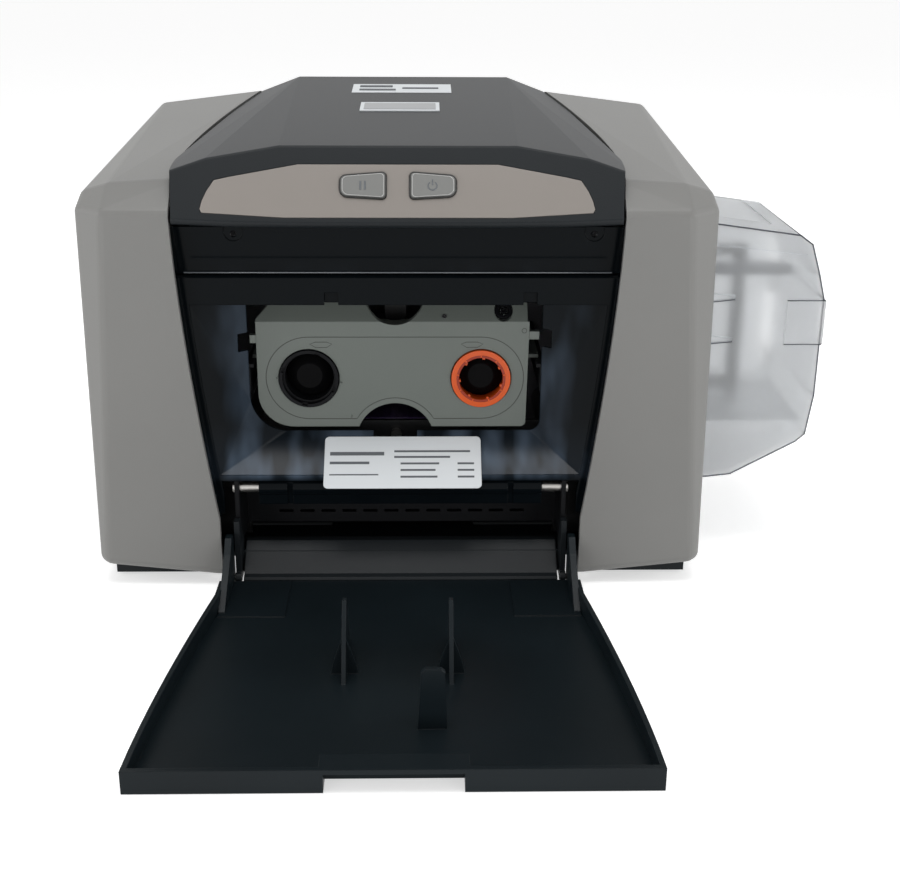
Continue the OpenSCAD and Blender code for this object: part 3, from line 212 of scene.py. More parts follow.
def add_grain(material, scale, depth, spread):
    """A fine moulded or brushed grain: small bumps, with a slight spread of roughness."""
    tree = material.node_tree
    shader = tree.nodes["Principled BSDF"]
    swells = noise(tree, object_place(tree), scale, GRAIN_DETAIL)
    bump = tree.nodes.new("ShaderNodeBump")
    bump.inputs["Strength"].default_value = depth
    bump.inputs["Distance"].default_value = GRAIN_HEIGHT
    tree.links.new(swells, bump.inputs["Height"])
    tree.links.new(bump.outputs["Normal"], shader.inputs["Normal"])
    target = shader.inputs["Roughness"]
    middle = target.default_value
    tree.links.new(map_range(tree, swells, (0, 1), (middle - spread, middle + spread)), target)


def plastic(name, color, roughness, grain=0.0, coat=0.0, specular=0.5, tone=0.06, edge=EDGE_RADIUS):
    material = new_material(name, color, roughness, coat=coat, specular=specular)
    if grain:
        add_grain(material, FINE_GRAIN_SCALE, grain, ROUGHNESS_SPREAD)
    vary_color(material, TONE_SCALE, tone)
    if edge:
        soften_edges(material, edge)
    return material


def metal(name, color, roughness):
    material = new_material(name, color, roughness, metallic=1.0)
    add_grain(material, COARSE_GRAIN_SCALE, METAL_GRAIN, METAL_ROUGHNESS_SPREAD)
    return material


def clear_plastic(name, color, roughness, alpha, transmission=0.85):
    """Plastic that is partly holes for the light, so that a thin wall shows what is behind it."""
    material = new_material(name, color, roughness)
    shader = material.node_tree.nodes["Principled BSDF"]
    shader.inputs["Transmission Weight"].default_value = transmission
    shader.inputs["IOR"].default_value = CLEAR_IOR
    shader.inputs["Alpha"].default_value = alpha
    add_grain(material, COARSE_GRAIN_SCALE, CLEAR_GRAIN, ROUGHNESS_SPREAD)
    vary_color(material, CLEAR_TONE_SCALE, CLEAR_TONE)
    return material


# The polished black's painted sheen, a bluish painted reflection in its base colour: from none at the first
# place to full at the second
PAINTED_SHEEN_ON_LEDGE_Z = (0.090, 0.066)
PAINTED_SHEEN_ABOVE_GUARD_Z = (0.0565, 0.0595)
PAINTED_SHEEN_IN_FUNNEL_Y = (FRONT_Y * MM + 0.015, FRONT_Y * MM + 0.030)
PAINTED_SHEEN_IN_FUNNEL = 0.42
STREAK_STRETCH = (1.0, 0.35, 0.35)
STREAK_SCALE = 55
STREAK_DETAIL = 2
STREAK_NOISE = (0.42, 0.64)
STREAK_SHARE = (0.08, 1)


# Streaks that break up the painted reflection
def painted_sheen_streaks(tree, place):
    stretch = tree.nodes.new("ShaderNodeMapping")
    stretch.inputs["Scale"].default_value = STREAK_STRETCH
    tree.links.new(place, stretch.inputs["Vector"])
    streaks = noise(tree, stretch.outputs["Vector"], STREAK_SCALE, STREAK_DETAIL)
    return map_range(tree, streaks, STREAK_NOISE, STREAK_SHARE)


def black_with_painted_sheen(name, color, painted_sheen, roughness, specular):
    """Polished black with a painted reflection: its base colour turns bluish, in streaks, where it faces up
    to the light on the ledge and in the funnel.
    """
    material = new_material(name, color, roughness, specular=specular)
    tree = material.node_tree
    place = object_place(tree)
    axes = tree.nodes.new("ShaderNodeSeparateXYZ")
    tree.links.new(place, axes.inputs[0])
    on_ledge = map_range(tree, axes.outputs["Z"], PAINTED_SHEEN_ON_LEDGE_Z, (0, 1))
    in_funnel = map_range(tree, axes.outputs["Y"], PAINTED_SHEEN_IN_FUNNEL_Y, (0, PAINTED_SHEEN_IN_FUNNEL))
    above_guard = map_range(tree, axes.outputs["Z"], PAINTED_SHEEN_ABOVE_GUARD_Z, (0, 1))
    painted_sheen_zone = combine(tree, "MULTIPLY", combine(tree, "MAXIMUM", on_ledge, in_funnel), above_guard)
    share = combine(tree, "MULTIPLY", painted_sheen_zone, painted_sheen_streaks(tree, place))
    target = tree.nodes["Principled BSDF"].inputs["Base Color"]
    tree.links.new(mix_colors(tree, share, color, painted_sheen), target)
    soften_edges(material, POLISHED_EDGE_RADIUS)
    return material


CARTRIDGE_GREY = (0.132, 0.149, 0.135)

# Plastics, and with them rubber and painted or blackened metal
PLASTICS = {
    "silver_case": dict(color=(0.188, 0.187, 0.180), roughness=0.42, grain=0.2, specular=0.3),
    "charcoal_plastic": dict(color=(0.0085, 0.0107, 0.0125), roughness=0.42, grain=0.3, specular=0.18),
    "taupe_plate": dict(color=(0.225, 0.204, 0.185), roughness=0.26),
    "button_grey": dict(color=(0.155, 0.157, 0.150), roughness=0.10, coat=1.0),
    # A lighter and a darker copy of the button grey, as painted highlight and painted shade round the
    # buttons
    "button_rim": dict(color=(0.40, 0.40, 0.39), roughness=0.15, coat=1.0),
    "button_shade": dict(color=(0.012, 0.012, 0.011), roughness=0.4),
    # A lighter black for the painted highlight on the crossbar's edge
    "black_glint": dict(color=(0.11, 0.12, 0.13), roughness=0.2),
    "matte_black": dict(color=(0.0042, 0.0045, 0.0055), roughness=0.5, grain=0.2, specular=0.13),
    # navy_black's strong tone stands as painted reflection: bright and dark patches across the door's gloss
    "navy_black": dict(
        color=(0.0060, 0.0095, 0.0117), roughness=0.34, grain=0.15, specular=0.15, tone=0.4),
    "cartridge_grey": dict(color=CARTRIDGE_GREY, roughness=0.5, grain=0.25),
    "cartridge_patch": dict(color=CARTRIDGE_GREY, roughness=0.5, edge=0),
    # Dark olive for the painted shade in the pressed line's groove and for the marks
    "cartridge_line": dict(color=(0.055, 0.057, 0.052), roughness=0.6),
    "orange_core": dict(color=(0.68, 0.090, 0.006), roughness=0.3, grain=0.1),
    # A darker orange as painted shade in the take-up core's recess
    "orange_shade": dict(color=(0.30, 0.024, 0.003), roughness=0.4),
    "ribbon_dye": dict(color=(0.03, 0.015, 0.06), roughness=0.25),
    "spindle_plastic": dict(color=(0.0025, 0.0025, 0.0028), roughness=0.5, specular=0.05),
    "gear_plastic": dict(color=(0.75, 0.75, 0.7), roughness=0.45),
    "head_ceramic": dict(color=(0.65, 0.62, 0.52), roughness=0.2),
    "roller_rubber": dict(color=(0.02, 0.02, 0.021), roughness=0.7, grain=0.2),
    "pinch_grey": dict(color=(0.25, 0.25, 0.26), roughness=0.5, grain=0.1),
    "cleaning_red": dict(color=(0.5, 0.04, 0.1), roughness=0.35),
    "motor_metal": dict(color=(0.03, 0.03, 0.032), roughness=0.35, grain=0.1),
    # dark_steel is also put as painted shade on metal parts in the shade of black mouldings
    "dark_steel": dict(color=(0.016, 0.017, 0.018), roughness=0.4, grain=0.2),
    "board_green": dict(color=(0.015, 0.12, 0.045), roughness=0.35),
    "weight_dark": dict(color=(0.009, 0.014, 0.028), roughness=0.4, grain=0.1),
    "label_white": dict(color=(0.66, 0.69, 0.71), roughness=0.45),
    "label_ink": dict(color=(0.10, 0.11, 0.12), roughness=0.6),
    "badge_grey": dict(color=(0.26, 0.27, 0.28), roughness=0.3),
}

METALS = {
    "pinion_brass": dict(color=(0.78, 0.56, 0.26), roughness=0.3),
    "steel_plate": dict(color=(0.16, 0.16, 0.17), roughness=0.45),
    "steel_bright": dict(color=(0.42, 0.41, 0.39), roughness=0.32),
    "head_alloy": dict(color=(0.2, 0.2, 0.21), roughness=0.45),
}

CLEAR_PLASTICS = {
    "clear_smoke": dict(color=(0.72, 0.735, 0.75), roughness=0.42, alpha=0.76, transmission=0.68),
    # Dark and light beads along the hopper's edges, as painted shade and painted highlight
    "clear_edge": dict(color=(0.07, 0.075, 0.09), roughness=0.3, alpha=0.8),
    "clear_glint": dict(color=(0.9, 0.92, 0.95), roughness=0.2, alpha=0.6),
}

# The polished black, with the bluish colour of the painted reflection mixed into it
GLOSS_BLACK = dict(
    color=(0.0024, 0.0038, 0.0050), painted_sheen=(0.078, 0.107, 0.148), roughness=0.14, specular=0.07)

# Metal parts that stand in the shade of black mouldings, which take the near-black dark_steel in place of
# their own material as painted shade
PAINTED_SHADE_PARTS = {"cover_hinge_pins", "head_carrier", "head_bridge", "front_chassis_plate", "head_motor"}


def make_materials():
    made = {"gloss_black": black_with_painted_sheen("gloss_black", **GLOSS_BLACK)}
    for maker, looks in ((plastic, PLASTICS), (metal, METALS), (clear_plastic, CLEAR_PLASTICS)):
        for name, look in looks.items():
            made[name] = maker(name, **look)
    return made


MATERIALS = make_materials()

CAD_SHARP_DEG = 28


def dress_cad_nodes():
    slots = {part["node"]: part["material_slot"] for part in frame["record"]["subparts"]}
    for name, node in nodes.items():
        node.data.materials.clear()
        # Parts in the shade of black mouldings take dark_steel as painted shade
        node.data.materials.append(MATERIALS["dark_steel" if name in PAINTED_SHADE_PARTS else slots[name]])
        node.data.shade_smooth()
        node.data.set_sharp_from_angle(angle=math.radians(CAD_SHARP_DEG))


# Small pieces that the CAD model leaves to the picture

SUNK = 0.05  # how far a thin piece reaches into what carries it


def add_piece(name, vertices, faces, material, body):
    mesh = bpy.data.meshes.new(name)
    mesh.from_pydata([tuple(v) for v in vertices], [], faces)
    solid = bmesh.new()
    solid.from_mesh(mesh)
    bmesh.ops.recalc_face_normals(solid, faces=solid.faces)
    solid.to_mesh(mesh)
    solid.free()
    piece = bpy.data.objects.new(name, mesh)
    bpy.context.scene.collection.objects.link(piece)
    piece.data.materials.append(MATERIALS[material])
    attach(piece, body)
    return piece


def join_sections(count, corners, closed):
    """Faces between sections of as many corners each, with a face at either end unless it is closed."""
    faces = []
    for i in range(count if closed else count - 1):
        low, high = corners * i, corners * ((i + 1) % count)
        for k in range(corners):
            after = (k + 1) % corners
            faces.append((low + k, low + after, high + after, high + k))
    if not closed:
        last = corners * (count - 1)
        faces.append(tuple(reversed(range(corners))))
        faces.append(tuple(range(last, last + corners)))
    return faces


def directions(path, closed):
    """The direction of a path at each of its points."""
    count = len(path)
    for i in range(count):
        before = path[i - 1] if closed else path[max(i - 1, 0)]
        after = path[(i + 1) % count] if closed else path[min(i + 1, count - 1)]
        yield (after - before).normalized()


def add_sheet(name, rows, thickness, material, body, closed=False):
    """A thin solid on rows of left side, right side and the direction in which it is thick."""
    vertices = []
    for left, right, out in rows:
        rise = out * (thickness * MM)
        vertices += [left, right, right + rise, left + rise]
    return add_piece(name, vertices, join_sections(len(rows), 4, closed), material, body)


def add_stroke(name, path, width, thickness, material, body, closed=False):
    """A thin raised line of one width along a path on a face that looks forward."""
    rows = []
    for at, along in zip(path, directions(path, closed)):
        side = along.cross(FORWARD) * (width * MM / 2)
        rows.append((at - side, at + side, FORWARD))
    add_sheet(name, rows, thickness, material, body, closed)


BEAD_SIDES = 8
OFF_EVERY_PATH = Vector((0.31, 0.47, 0.83))


def add_bead(name, path, radius, material, body, closed=False):
    """A round bead along a path of points."""
    vertices = []
    for at, along in zip(path, directions(path, closed)):
        first = along.cross(OFF_EVERY_PATH).normalized()
        second = along.cross(first)
        for x, y in circle(0, 0, radius * MM, BEAD_SIDES):
            vertices.append(at + first * x + second * y)
    piece = add_piece(name, vertices, join_sections(len(path), BEAD_SIDES, closed), material, body)
    piece.data.shade_smooth()


# Plates on the top cover: span across, span in depth, thickness and material
TOP_PLATES = {
    "maker_badge_rim": ((-23.2, 22), (110.5, 135.5), 0.6, "label_white"),
    "maker_badge_plate": ((-21, 19.8), (114, 132), 0.8, "badge_grey"),
    "data_strip": ((-30.4, 29.8), (168.5, 197), 0.3, "label_white"),
}
DATA_STRIP_TOP = TOP_PLATES["data_strip"][2] - SUNK
DATA_BARS = (((-26, -6), (186, 191)), ((-26, -4), (175, 179)), ((0, 22), (181, 184)))
DATA_BAR_THICKNESS = 0.42
OVER_EVERYTHING_Z = 400


def top_cover_at(x, y):
    """Where a straight line down meets the top cover, with the cover's normal."""
    hit, place, normal, _ = nodes["top_cover"].ray_cast(point(x, y, OVER_EVERYTHING_Z), -UP)
    assert hit, (x, y)
    return place, normal


def add_top_plate(name, across, depths, thickness, material, base=-SUNK):
    """A flat plate between two depths of the top cover, with its lower side at base above the cover."""
    left, right = across
    half = RIGHT * ((right - left) / 2 * MM)
    rows = []
    for y in depths:
        place, normal = top_cover_at((left + right) / 2, y)
        middle = place + normal * base * MM
        rows.append((middle - half, middle + half, normal))
    add_sheet(name, rows, thickness, material, "printer")


def add_top_labels():
    for name, plate in TOP_PLATES.items():
        add_top_plate(name, *plate)
    for i, bar in enumerate(DATA_BARS):
        add_top_plate("data_strip_bar_%d" % (i + 1), *bar, DATA_BAR_THICKNESS, "label_ink", DATA_STRIP_TOP)


# The label on the ledge below the cartridge: depth and height of its upper and lower end, and its sides
LABEL_TOP = (30.3, 75.3)
LABEL_LOW = (4.6, 55.1)
LABEL_X = (-41.5, 43.9)
LABEL_CORNER = 2.5
LABEL_CORNER_STEPS = 5
LABEL_BASE = 0.1
LABEL_THICKNESS = 0.25
LABEL_BAR_BASE = LABEL_BASE + LABEL_THICKNESS - SUNK
LABEL_BAR_THICKNESS = 0.12

# Plain bars in place of lines of print: left, right, distance down the label, half height
LABEL_BARS = (
    (-38.5, -9, 11.0, 1.1), (-38.5, -17, 16.8, 0.8), (-38.5, -12, 24.2, 0.4),
    (-3.5, 38, 9.5, 0.6), (-3.5, 27, 13.1, 0.6),
    (0, 21, 17.2, 0.6), (0, 19, 21.3, 0.6), (0, 20, 25.5, 0.6),
    (31, 40, 17.2, 0.6), (31, 40, 21.3, 0.6), (31, 40, 25.5, 0.6))

LABEL_SPAN = Vector((0, LABEL_LOW[0] - LABEL_TOP[0], LABEL_LOW[1] - LABEL_TOP[1]))
LABEL_DOWN = LABEL_SPAN.normalized()
LABEL_OUT = Vector((0, LABEL_DOWN.z, -LABEL_DOWN.y))


def label_row(left, right, along, lift):
    """A row across the label, at a distance down from its top."""
    middle = LABEL_DOWN * along * MM + LABEL_OUT * lift * MM
    return point(left, *LABEL_TOP) + middle, point(right, *LABEL_TOP) + middle, LABEL_OUT


def add_ledge_label():
    corner = [(LABEL_CORNER + x, LABEL_CORNER + z)
              for x, z in arc(0, 0, LABEL_CORNER, 180, 270, LABEL_CORNER_STEPS)]
    ends = corner + [(LABEL_SPAN.length - along, inset) for along, inset in reversed(corner)]
    rows = [label_row(LABEL_X[0] + inset, LABEL_X[1] - inset, along, LABEL_BASE) for along, inset in ends]
    add_sheet("ledge_label", rows, LABEL_THICKNESS, "label_white", "printer")
    for i, (left, right, along, half) in enumerate(LABEL_BARS):
        rows = [label_row(left, right, along + d, LABEL_BAR_BASE) for d in (-half, half)]
        add_sheet("ledge_label_line_%d" % (i + 1), rows, LABEL_BAR_THICKNESS, "label_ink", "printer")


# The control slope: depth and height of its lower and upper edge, with places counted up from the lower one
SLOPE_LOW = (-2.4, 200.8)
SLOPE_TOP = (20.0, 234.0)
BUTTON_RISE = 1.0  # how far the buttons stand out of the slope
SIGN_THICKNESS = 0.15

SLOPE_UP = Vector((0, SLOPE_TOP[0] - SLOPE_LOW[0], SLOPE_TOP[1] - SLOPE_LOW[1])).normalized()
SLOPE_OUT = Vector((0, -SLOPE_UP.z, SLOPE_UP.y))


def on_button(x, v):
    """A place on a button's face, a little below it."""
    return point(x, *SLOPE_LOW) + SLOPE_UP * v * MM + SLOPE_OUT * (BUTTON_RISE - SUNK) * MM


def add_sign(name, lefts, rights, body):
    """A flat sign on a button, between its left and its right outline."""
    rows = [(on_button(*a), on_button(*b), SLOPE_OUT) for a, b in zip(lefts, rights)]
    add_sheet(name, rows, SIGN_THICKNESS, "label_ink", body)


def add_bar_sign(name, x0, x1, v0, v1, body):
    add_sign(name, ((x0, v0), (x0, v1)), ((x1, v0), (x1, v1)), body)


# Places of the signs on the slope: bars as left, right, low and high
PAUSE_BARS = {"left": (-19.2, -18.3), "right": (-16.9, -16.0)}
PAUSE_V = (17.2, 21.8)
POWER_RING_AT = (17.2, 19.2)
POWER_RING_RADII = (1.9, 2.5)
POWER_RING_SPAN = (125, 415)
POWER_RING_STEPS = 24
POWER_BAR = (16.9, 17.5, 19.6, 22.6)


def add_button_signs():
    for side, across in PAUSE_BARS.items():
        add_bar_sign("pause_symbol_%s" % side, *across, *PAUSE_V, "pause_button")
    inner, outer = (
        arc(*POWER_RING_AT, radius, *POWER_RING_SPAN, POWER_RING_STEPS) for radius in POWER_RING_RADII)
    add_sign("power_symbol_ring", inner, outer, "power_button")
    add_bar_sign("power_symbol_bar", *POWER_BAR, "power_button")


# The right-hand button's corners on the slope: centre, radius and span of angles
BUTTON_CORNERS = (
    (8, 14.6, 2, 180, 270), (25, 17.6, 4, 270, 360), (26, 22.1, 3, 0, 90), (8, 24.6, 2, 90, 180))
BUTTON_CORNER_STEPS = 6
BUTTON_CENTRE = Vector((17.5, 19.6))

# Beads round a button, the dark one as painted shade in its gap and the light one as painted highlight:
# distance in from its outline, radius and material
BUTTON_BEADS = {"edge": (0.15, 0.38, "button_shade"), "ridge": (1.3, 0.22, "button_rim")}


def add_button_rims():
    """Painted shade along the glossy buttons' outer edge, in the gap round them, and a painted highlight on
    a ridge inside it.
    """
    outline = [Vector(place) for corner in BUTTON_CORNERS for place in arc(*corner, BUTTON_CORNER_STEPS)]
    for button, side in (("power_button", 1), ("pause_button", -1)):
        for kind, (inset, radius, material) in BUTTON_BEADS.items():
            drawn_in = [place + (BUTTON_CENTRE - place).normalized() * inset for place in outline]
            path = [on_button(side * place.x, place.y) for place in drawn_in]
            add_bead("%s_%s" % (button, kind), path, radius, material, button, closed=True)


# The cartridge: its face's depth, and the middles of its spools and of its arch on that face
CARTRIDGE_Y = 37.0
SUPPLY_AT = (-50.0, 107.0)
TAKEUP_AT = (44.0, 107.0)
ARCH_AT = (-3.0, 71.1)

# The CAD model's groove: straight lines that touch two circles of x, z and radius, and an arc over the arch
GROOVE_LEFT = (-59.0, 98.0, 12.6)
GROOVE_RIGHT = (66.0, 82.0, 0.5)
GROOVE_LINE_STEPS = 90
GROOVE_LEFT_STEPS = 40
GROOVE_ARCH_RADIUS = 27.9
GROOVE_ARCH_SPAN = (25, 148)
GROOVE_ARCH_STEPS = 50

# The strips over it keep clear of the spools' holes and of the arch, and each path has a level of its own
STRIP_Y = CARTRIDGE_Y + 0.03
STRIP_LEVEL_STEP = 0.012
STRIP_WIDTH = 2.0
STRIP_THICKNESS = 0.04
STRIP_SPOOL_CLEARANCE = 17.8
STRIP_ARCH_CLEARANCE = 27


def groove_paths():
    """The lower part of the CAD model's groove, as four paths."""
    x0, z0, left_radius = GROOVE_LEFT
    x1, z1, right_radius = GROOVE_RIGHT
    lie = math.atan2(z1 - z0, x1 - x0)
    lean = math.acos((left_radius - right_radius) / math.hypot(x1 - x0, z1 - z0))
    paths = []
    for turn in (lie + lean, lie - lean):
        c, s = math.cos(turn), math.sin(turn)
        start = Vector((x0 + left_radius * c, z0 + left_radius * s))
        end = Vector((x1 + right_radius * c, z1 + right_radius * s))
        paths.append([start.lerp(end, i / GROOVE_LINE_STEPS)[:] for i in range(GROOVE_LINE_STEPS + 1)])
    left_span = (math.degrees(lie + lean), math.degrees(lie - lean) + 360)
    paths.append(arc(*GROOVE_LEFT, *left_span, GROOVE_LEFT_STEPS))
    paths.append(arc(*ARCH_AT, GROOVE_ARCH_RADIUS, *GROOVE_ARCH_SPAN, GROOVE_ARCH_STEPS))
    return paths


def on_cartridge_face(place):
    from_spool = min(math.dist(place, spool) for spool in (SUPPLY_AT, TAKEUP_AT))
    return from_spool > STRIP_SPOOL_CLEARANCE and math.dist(place, ARCH_AT) > STRIP_ARCH_CLEARANCE


def stretches(path):
    """The stretches of a path, of three points or more, that lie on the cartridge's face."""
    found, run = [], []
    for place in path:
        if on_cartridge_face(place):
            run.append(place)
        else:
            found.append(run)
            run = []
    return [run for run in found + [run] if len(run) > 2]


def add_groove_fillers():
    """Thin strips over the lower groove of the face, whose place the pressed line takes."""
    for i, path in enumerate(groove_paths()):
        y = STRIP_Y - STRIP_LEVEL_STEP * i
        for k, run in enumerate(stretches(path)):
            strip = [point(x, y, z) for x, z in run]
            name = "cartridge_face_strip_%d_%d" % (i + 1, k + 1)
            add_stroke(name, strip, STRIP_WIDTH, STRIP_THICKNESS, "cartridge_patch", "printer")


# The pressed line, dark as painted shade in its groove, and the marks: a spool's mark is counted from its
# middle, the pin's is x, z and radius
LINE_Y = CARTRIDGE_Y - 0.02
LINE_THICKNESS = 0.05
OUTLINE_WIDTH = 0.45
MARK_WIDTH = 0.35
OUTLINE_SPOOL_RADIUS = 23.4
OUTLINE_SPOOL_STEPS = 24
OUTLINE_TAKEUP_SPAN = (90, -90)
OUTLINE_SUPPLY_SPAN = (270, 90)
OUTLINE_ARCH_RADIUS = 24.6
OUTLINE_ARCH_STEPS = 20
OUTLINE_ARCH_SPAN = (30.5, 149.5)
SPOOL_MARK = ((1, 19.5), (4, 17.6), (10, 17.6), (13, 19.5), (10, 20.6), (4, 20.6))
TAKEUP_MARK_SHIFT = -12
SPOOL_MARK_AT = {"supply": SUPPLY_AT, "takeup": (TAKEUP_AT[0] + TAKEUP_MARK_SHIFT, TAKEUP_AT[1])}
PIN_MARK = (67.2, 134, 1.3)
PIN_MARK_SPAN = (0, 345)
PIN_MARK_STEPS = 15


def add_cartridge_line(name, places, width):
    path = [point(x, LINE_Y, z) for x, z in places]
    add_stroke(name, path, width, LINE_THICKNESS, "cartridge_line", "printer", closed=True)


def add_cartridge_lines():
    """Painted shade along the pressed line round both spools, and the small dark marks on the cartridge's
    face.
    """
    outline = arc(*TAKEUP_AT, OUTLINE_SPOOL_RADIUS, *OUTLINE_TAKEUP_SPAN, OUTLINE_SPOOL_STEPS)
    outline += arc(*ARCH_AT, OUTLINE_ARCH_RADIUS, *OUTLINE_ARCH_SPAN, OUTLINE_ARCH_STEPS)
    outline += arc(*SUPPLY_AT, OUTLINE_SPOOL_RADIUS, *OUTLINE_SUPPLY_SPAN, OUTLINE_SPOOL_STEPS)
    add_cartridge_line("cartridge_outline_groove", outline, OUTLINE_WIDTH)
    for spool, (x, z) in SPOOL_MARK_AT.items():
        mark = [(x + across, z + up) for across, up in SPOOL_MARK]
        add_cartridge_line("%s_spool_mark" % spool, mark, MARK_WIDTH)
    add_cartridge_line("cartridge_pin_mark", arc(*PIN_MARK, *PIN_MARK_SPAN, PIN_MARK_STEPS), MARK_WIDTH)


# The inner ring of the take-up core, darker as painted shade, and the teeth on it
CORE_RING_RADII = (13.4, 12.05)
CORE_RING_Y = 35.52
CORE_RING_THICKNESS = 0.08
CORE_RING_STEPS = 48
CORE_TEETH = 9
CORE_TOOTH_START_DEG = 10
CORE_TOOTH_RADII = (12.2, 13.6)
CORE_TOOTH_Y = 35.45
CORE_TOOTH_WIDTH = 0.8
CORE_TOOTH_THICKNESS = 0.12


def add_core_ring():
    """Painted shade on the take-up core's inner ring: a darker ring a little behind its bright rim, with
    the teeth on it.
    """
    outer, inner = (
        [point(x, CORE_RING_Y, z) for x, z in circle(*TAKEUP_AT, radius, CORE_RING_STEPS)]
        for radius in CORE_RING_RADII)
    rows = [(a, b, FORWARD) for a, b in zip(outer, inner)]
    add_sheet("takeup_core_ring", rows, CORE_RING_THICKNESS, "orange_shade", "takeup_spool", closed=True)
    centre = point(TAKEUP_AT[0], CORE_TOOTH_Y, TAKEUP_AT[1])
    for i in range(CORE_TEETH):
        turn = math.radians(CORE_TOOTH_START_DEG + 360 * i / CORE_TEETH)
        across = Vector((math.cos(turn), 0, math.sin(turn)))
        path = [centre + across * radius * MM for radius in CORE_TOOTH_RADII]
        add_stroke("takeup_core_tooth_%d" % (i + 1), path, CORE_TOOTH_WIDTH, CORE_TOOTH_THICKNESS,
                   "orange_core", "takeup_spool")


# The cartridge's sloping top rises at 45 degrees from its knee. The rings on it are given by their place
# across and up from the knee, outer and inner radius, and lower and upper side
KNEE = (CARTRIDGE_Y, 139.0)
FITTINGS = {
    "ribbon_marker_ring": (56, 7.0, 4.7, 2.9, -1.5, 0.15, "matte_black"),
    "ribbon_marker_hub": (56, 7.0, 1.7, 0.6, -1.5, -0.2, "matte_black"),
    "cartridge_screw": (23.9, 3.2, 1.2, 0.4, -0.1, 0.5, "head_alloy"),
}
FITTING_STEPS = 24
FITTING_SHARP_DEG = 40


def add_fitting(name, x, up, radius, hole, low, high, material):
    rise = Vector((0, 1, 1)).normalized()
    out = Vector((0, -1, 1)).normalized()
    centre = point(x, *KNEE) + rise * up * MM
    vertices = []
    for across, along in circle(0, 0, 1, FITTING_STEPS):
        ray = RIGHT * across + rise * along
        for r, h in ((hole, low), (hole, high), (radius, high), (radius, low)):
            vertices.append(centre + ray * r * MM + out * h * MM)
    piece = add_piece(name, vertices, join_sections(FITTING_STEPS, 4, closed=True), material, "printer")
    piece.data.shade_smooth()
    piece.data.set_sharp_from_angle(angle=math.radians(FITTING_SHARP_DEG))


def add_cartridge_fittings():
    for name, fitting in FITTINGS.items():
        add_fitting(name, *fitting)


# A lighter bead as painted highlight on the crossbar's rounded edge, where it catches the light; it ends
# short of the side rims of the closed cover
CROSSBAR_HIGHLIGHT = ((-108.5, 4.3, 173.9), (108.5, 4.3, 173.9))
CROSSBAR_HIGHLIGHT_RADIUS = 0.35


def add_crossbar_painted_highlight():
    path = [point(*place) for place in CROSSBAR_HIGHLIGHT]
    add_bead("crossbar_painted_highlight", path, CROSSBAR_HIGHLIGHT_RADIUS, "black_glint", "printer")


# The hopper's outline from the front, clockwise from its upper inner corner
HOPPER_EDGE = (
    (165, 190.1), (217, 183.1), (224, 178), (229.5, 161), (233, 148), (233, 92), (230, 68.5),
    (225, 64), (189, 44.1), (175, 42.5), (165, 42.5))
HOPPER_FRONT = 52.0
HOPPER_BACK = 145.5
HOPPER_BACK_SHIFT = 0.3  # how far left and down the back edge lies from the front one
HOPPER_BACK_CORNERS = range(1, 8)  # the corners that the back edge runs through
HOPPER_SIDE_CORNERS = range(1, 7)  # the corners from which an edge runs to the back
HOPPER_FRONT_RADIUS = 0.45
HOPPER_BACK_RADIUS = 0.4
HOPPER_LONG_RADIUS = 0.35
HOPPER_THIN_RADIUS = 0.3

# Two grip ribs on the cover's front, which taper from root to tip, each drawn as a painted highlight along
# it and a painted shade below it
RIB_Z = (125, 149)
RIB_X = (167, 184)
RIB_HALF = (2.4, 0.6)
RIB_RISE = 1.2
RIB_SHADE_RISE = 0.7
RIB_SHADE_DROP = 0.9

# The raised band round the cover's free edge, the lid's front line and the top's rear edge: the band and
# the rear edge as painted shade, the lid's line as painted highlight
BAND_Z = {"top": 147, "bottom": 122}
BAND_X = (213, 233.9)
BAND_RISE = 1
BAND_END_Y = 66
LID_LINE = ((165, HOPPER_FRONT - 0.1, 178.5), (221.5, HOPPER_FRONT - 0.1, 172.5))
TOP_REAR_EDGE = ((165.5, 146.5, 189.8), (205.5, 146.5, 184.4))


def add_hopper_bead(name, places, radius=HOPPER_THIN_RADIUS, material="clear_edge"):
    add_bead(name, [point(*place) for place in places], radius, material, "hopper_cover")


def hopper_back_corner(i):
    x, z = HOPPER_EDGE[i]
    return x - HOPPER_BACK_SHIFT, HOPPER_BACK, z - HOPPER_BACK_SHIFT


# The hopper's outline and the edges to its back, as dark beads of painted shade
def add_hopper_outline():
    front = [(x, HOPPER_FRONT, z) for x, z in HOPPER_EDGE]
    add_hopper_bead("hopper_front_edge", front, HOPPER_FRONT_RADIUS)
    back = [hopper_back_corner(i) for i in HOPPER_BACK_CORNERS]
    add_hopper_bead("hopper_back_edge", back, HOPPER_BACK_RADIUS)
    for i in HOPPER_SIDE_CORNERS:
        add_hopper_bead("hopper_side_edge_%d" % i, (front[i], hopper_back_corner(i)))


def add_grip_ribs():
    for i, z in enumerate(RIB_Z):
        tip = [(RIB_X[0], z + RIB_HALF[0]), (RIB_X[1], z + RIB_HALF[1]),
               (RIB_X[1], z - RIB_HALF[1]), (RIB_X[0], z - RIB_HALF[0])]
        edge = [(x, HOPPER_FRONT - RIB_RISE, h) for x, h in tip]
        add_hopper_bead("grip_rib_edge_%d" % (i + 1), edge, material="clear_glint")
        under = [(x, HOPPER_FRONT - RIB_SHADE_RISE, h - RIB_SHADE_DROP) for x, h in tip[2:]]
        add_hopper_bead("grip_rib_painted_shade_%d" % (i + 1), under)


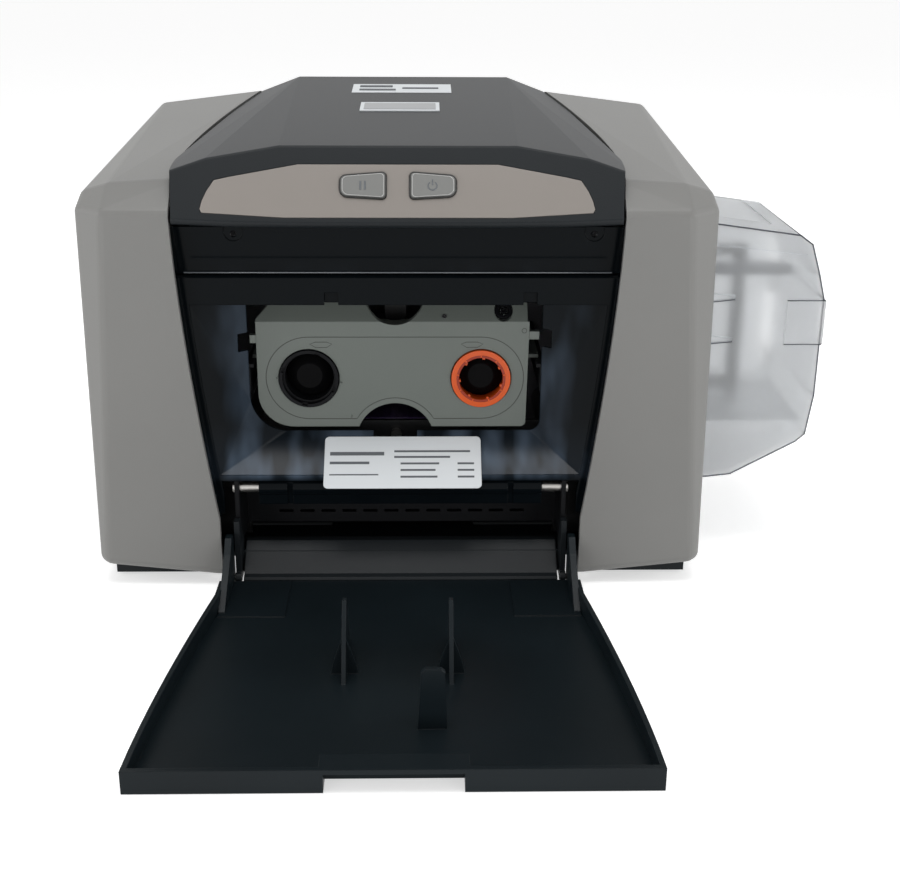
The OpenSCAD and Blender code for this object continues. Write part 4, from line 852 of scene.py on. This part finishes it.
def add_hopper_edges():
    """Beads on the thicker moulded edges of the clear hopper, which look darker or brighter than its walls:
    the dark ones painted shade, the light ones painted highlight.
    """
    add_hopper_outline()
    add_grip_ribs()
    band_y = HOPPER_FRONT - BAND_RISE
    for name, z in BAND_Z.items():
        band = ((BAND_X[0], band_y, z), (BAND_X[1], band_y, z), (BAND_X[1], BAND_END_Y, z))
        add_hopper_bead("hopper_band_%s" % name, band)
    add_hopper_bead("hopper_lid_line", LID_LINE, HOPPER_LONG_RADIUS, "clear_glint")
    add_hopper_bead("hopper_top_rear_edge", TOP_REAR_EDGE, HOPPER_LONG_RADIUS)


# Light and floor
FLOOR_SIZE = 60
FLOOR_LOOK = dict(color=(0.86, 0.86, 0.86), roughness=0.9, specular=0.1)
FLOOR_GLOW = 0.55
WORLD_LIGHT = 0.45
WORLD_SEEN = 1.0
WHITE = (1, 1, 1, 1)

# Lamps: place, aim, size and power. A pair is a right-hand lamp and its mirror image
OVERHEAD_LAMP = ((0, -0.22, 1.7), (0, 0, 0.1), (1.3, 1.0), 7.8)
LAMP_PAIRS = {
    "spot": ((0.27, -0.42, 1.7), (0, -0.1, 0.1), (0.22, 0.3), 1.8),
    "front": ((0.8, -1.2, 0.14), (0, 0, 0.03), (0.9, 0.3), 4.6),
    "side": ((1.6, -0.25, 0.5), (0.1, -0.05, 0.12), (0.6, 1.0), 6),
}


def make_area_light(name, at, aim, size, power, side=1):
    """A rectangular lamp, which side -1 mirrors to the left."""
    at, aim = (Vector((side * x, y, z)) for x, y, z in (at, aim))
    data = bpy.data.lights.new(name, "AREA")
    data.shape = "RECTANGLE"
    data.size, data.size_y = size
    data.energy = power
    light = bpy.data.objects.new(name, data)
    light.location = at
    light.rotation_euler = (aim - at).to_track_quat("-Z", "Y").to_euler()
    bpy.context.scene.collection.objects.link(light)


def make_lights():
    make_area_light("overhead", *OVERHEAD_LAMP)
    for name, lamp in LAMP_PAIRS.items():
        make_area_light("%s_left" % name, *lamp, side=-1)
        make_area_light("%s_right" % name, *lamp)


def make_stage():
    bpy.ops.mesh.primitive_plane_add(size=FLOOR_SIZE, location=(0, 0, 0))
    floor = bpy.context.object
    floor.name = "floor"
    material = new_material("floor_white", **FLOOR_LOOK)
    tree = material.node_tree
    lit = tree.nodes["Principled BSDF"].outputs[0]
    glow = tree.nodes.new("ShaderNodeEmission")
    glow.inputs["Color"].default_value = WHITE
    glow.inputs["Strength"].default_value = FLOOR_GLOW
    both = tree.nodes.new("ShaderNodeAddShader")
    tree.links.new(lit, both.inputs[0])
    tree.links.new(glow.outputs[0], both.inputs[1])
    shown = mix_shaders(tree, seen_by_camera(tree), lit, both.outputs[0])
    tree.links.new(shown, tree.nodes["Material Output"].inputs["Surface"])
    floor.data.materials.append(material)


def make_world():
    world = bpy.data.worlds.new("studio")
    world.use_nodes = True
    bpy.context.scene.world = world
    tree = world.node_tree
    light = tree.nodes["Background"]
    backdrop = tree.nodes.new("ShaderNodeBackground")
    for node, strength in ((light, WORLD_LIGHT), (backdrop, WORLD_SEEN)):
        node.inputs["Color"].default_value = WHITE
        node.inputs["Strength"].default_value = strength
    shown = mix_shaders(tree, seen_by_camera(tree), light.outputs[0], backdrop.outputs[0])
    tree.links.new(shown, tree.nodes["World Output"].inputs["Surface"])


make_camera()
dress_cad_nodes()
add_top_labels()
add_ledge_label()
add_button_signs()
add_button_rims()
add_groove_fillers()
add_cartridge_lines()
add_core_ring()
add_crossbar_painted_highlight()
add_cartridge_fittings()
add_hopper_edges()
make_stage()
make_world()
make_lights()
bpy.context.scene.view_settings.view_transform = "Standard"
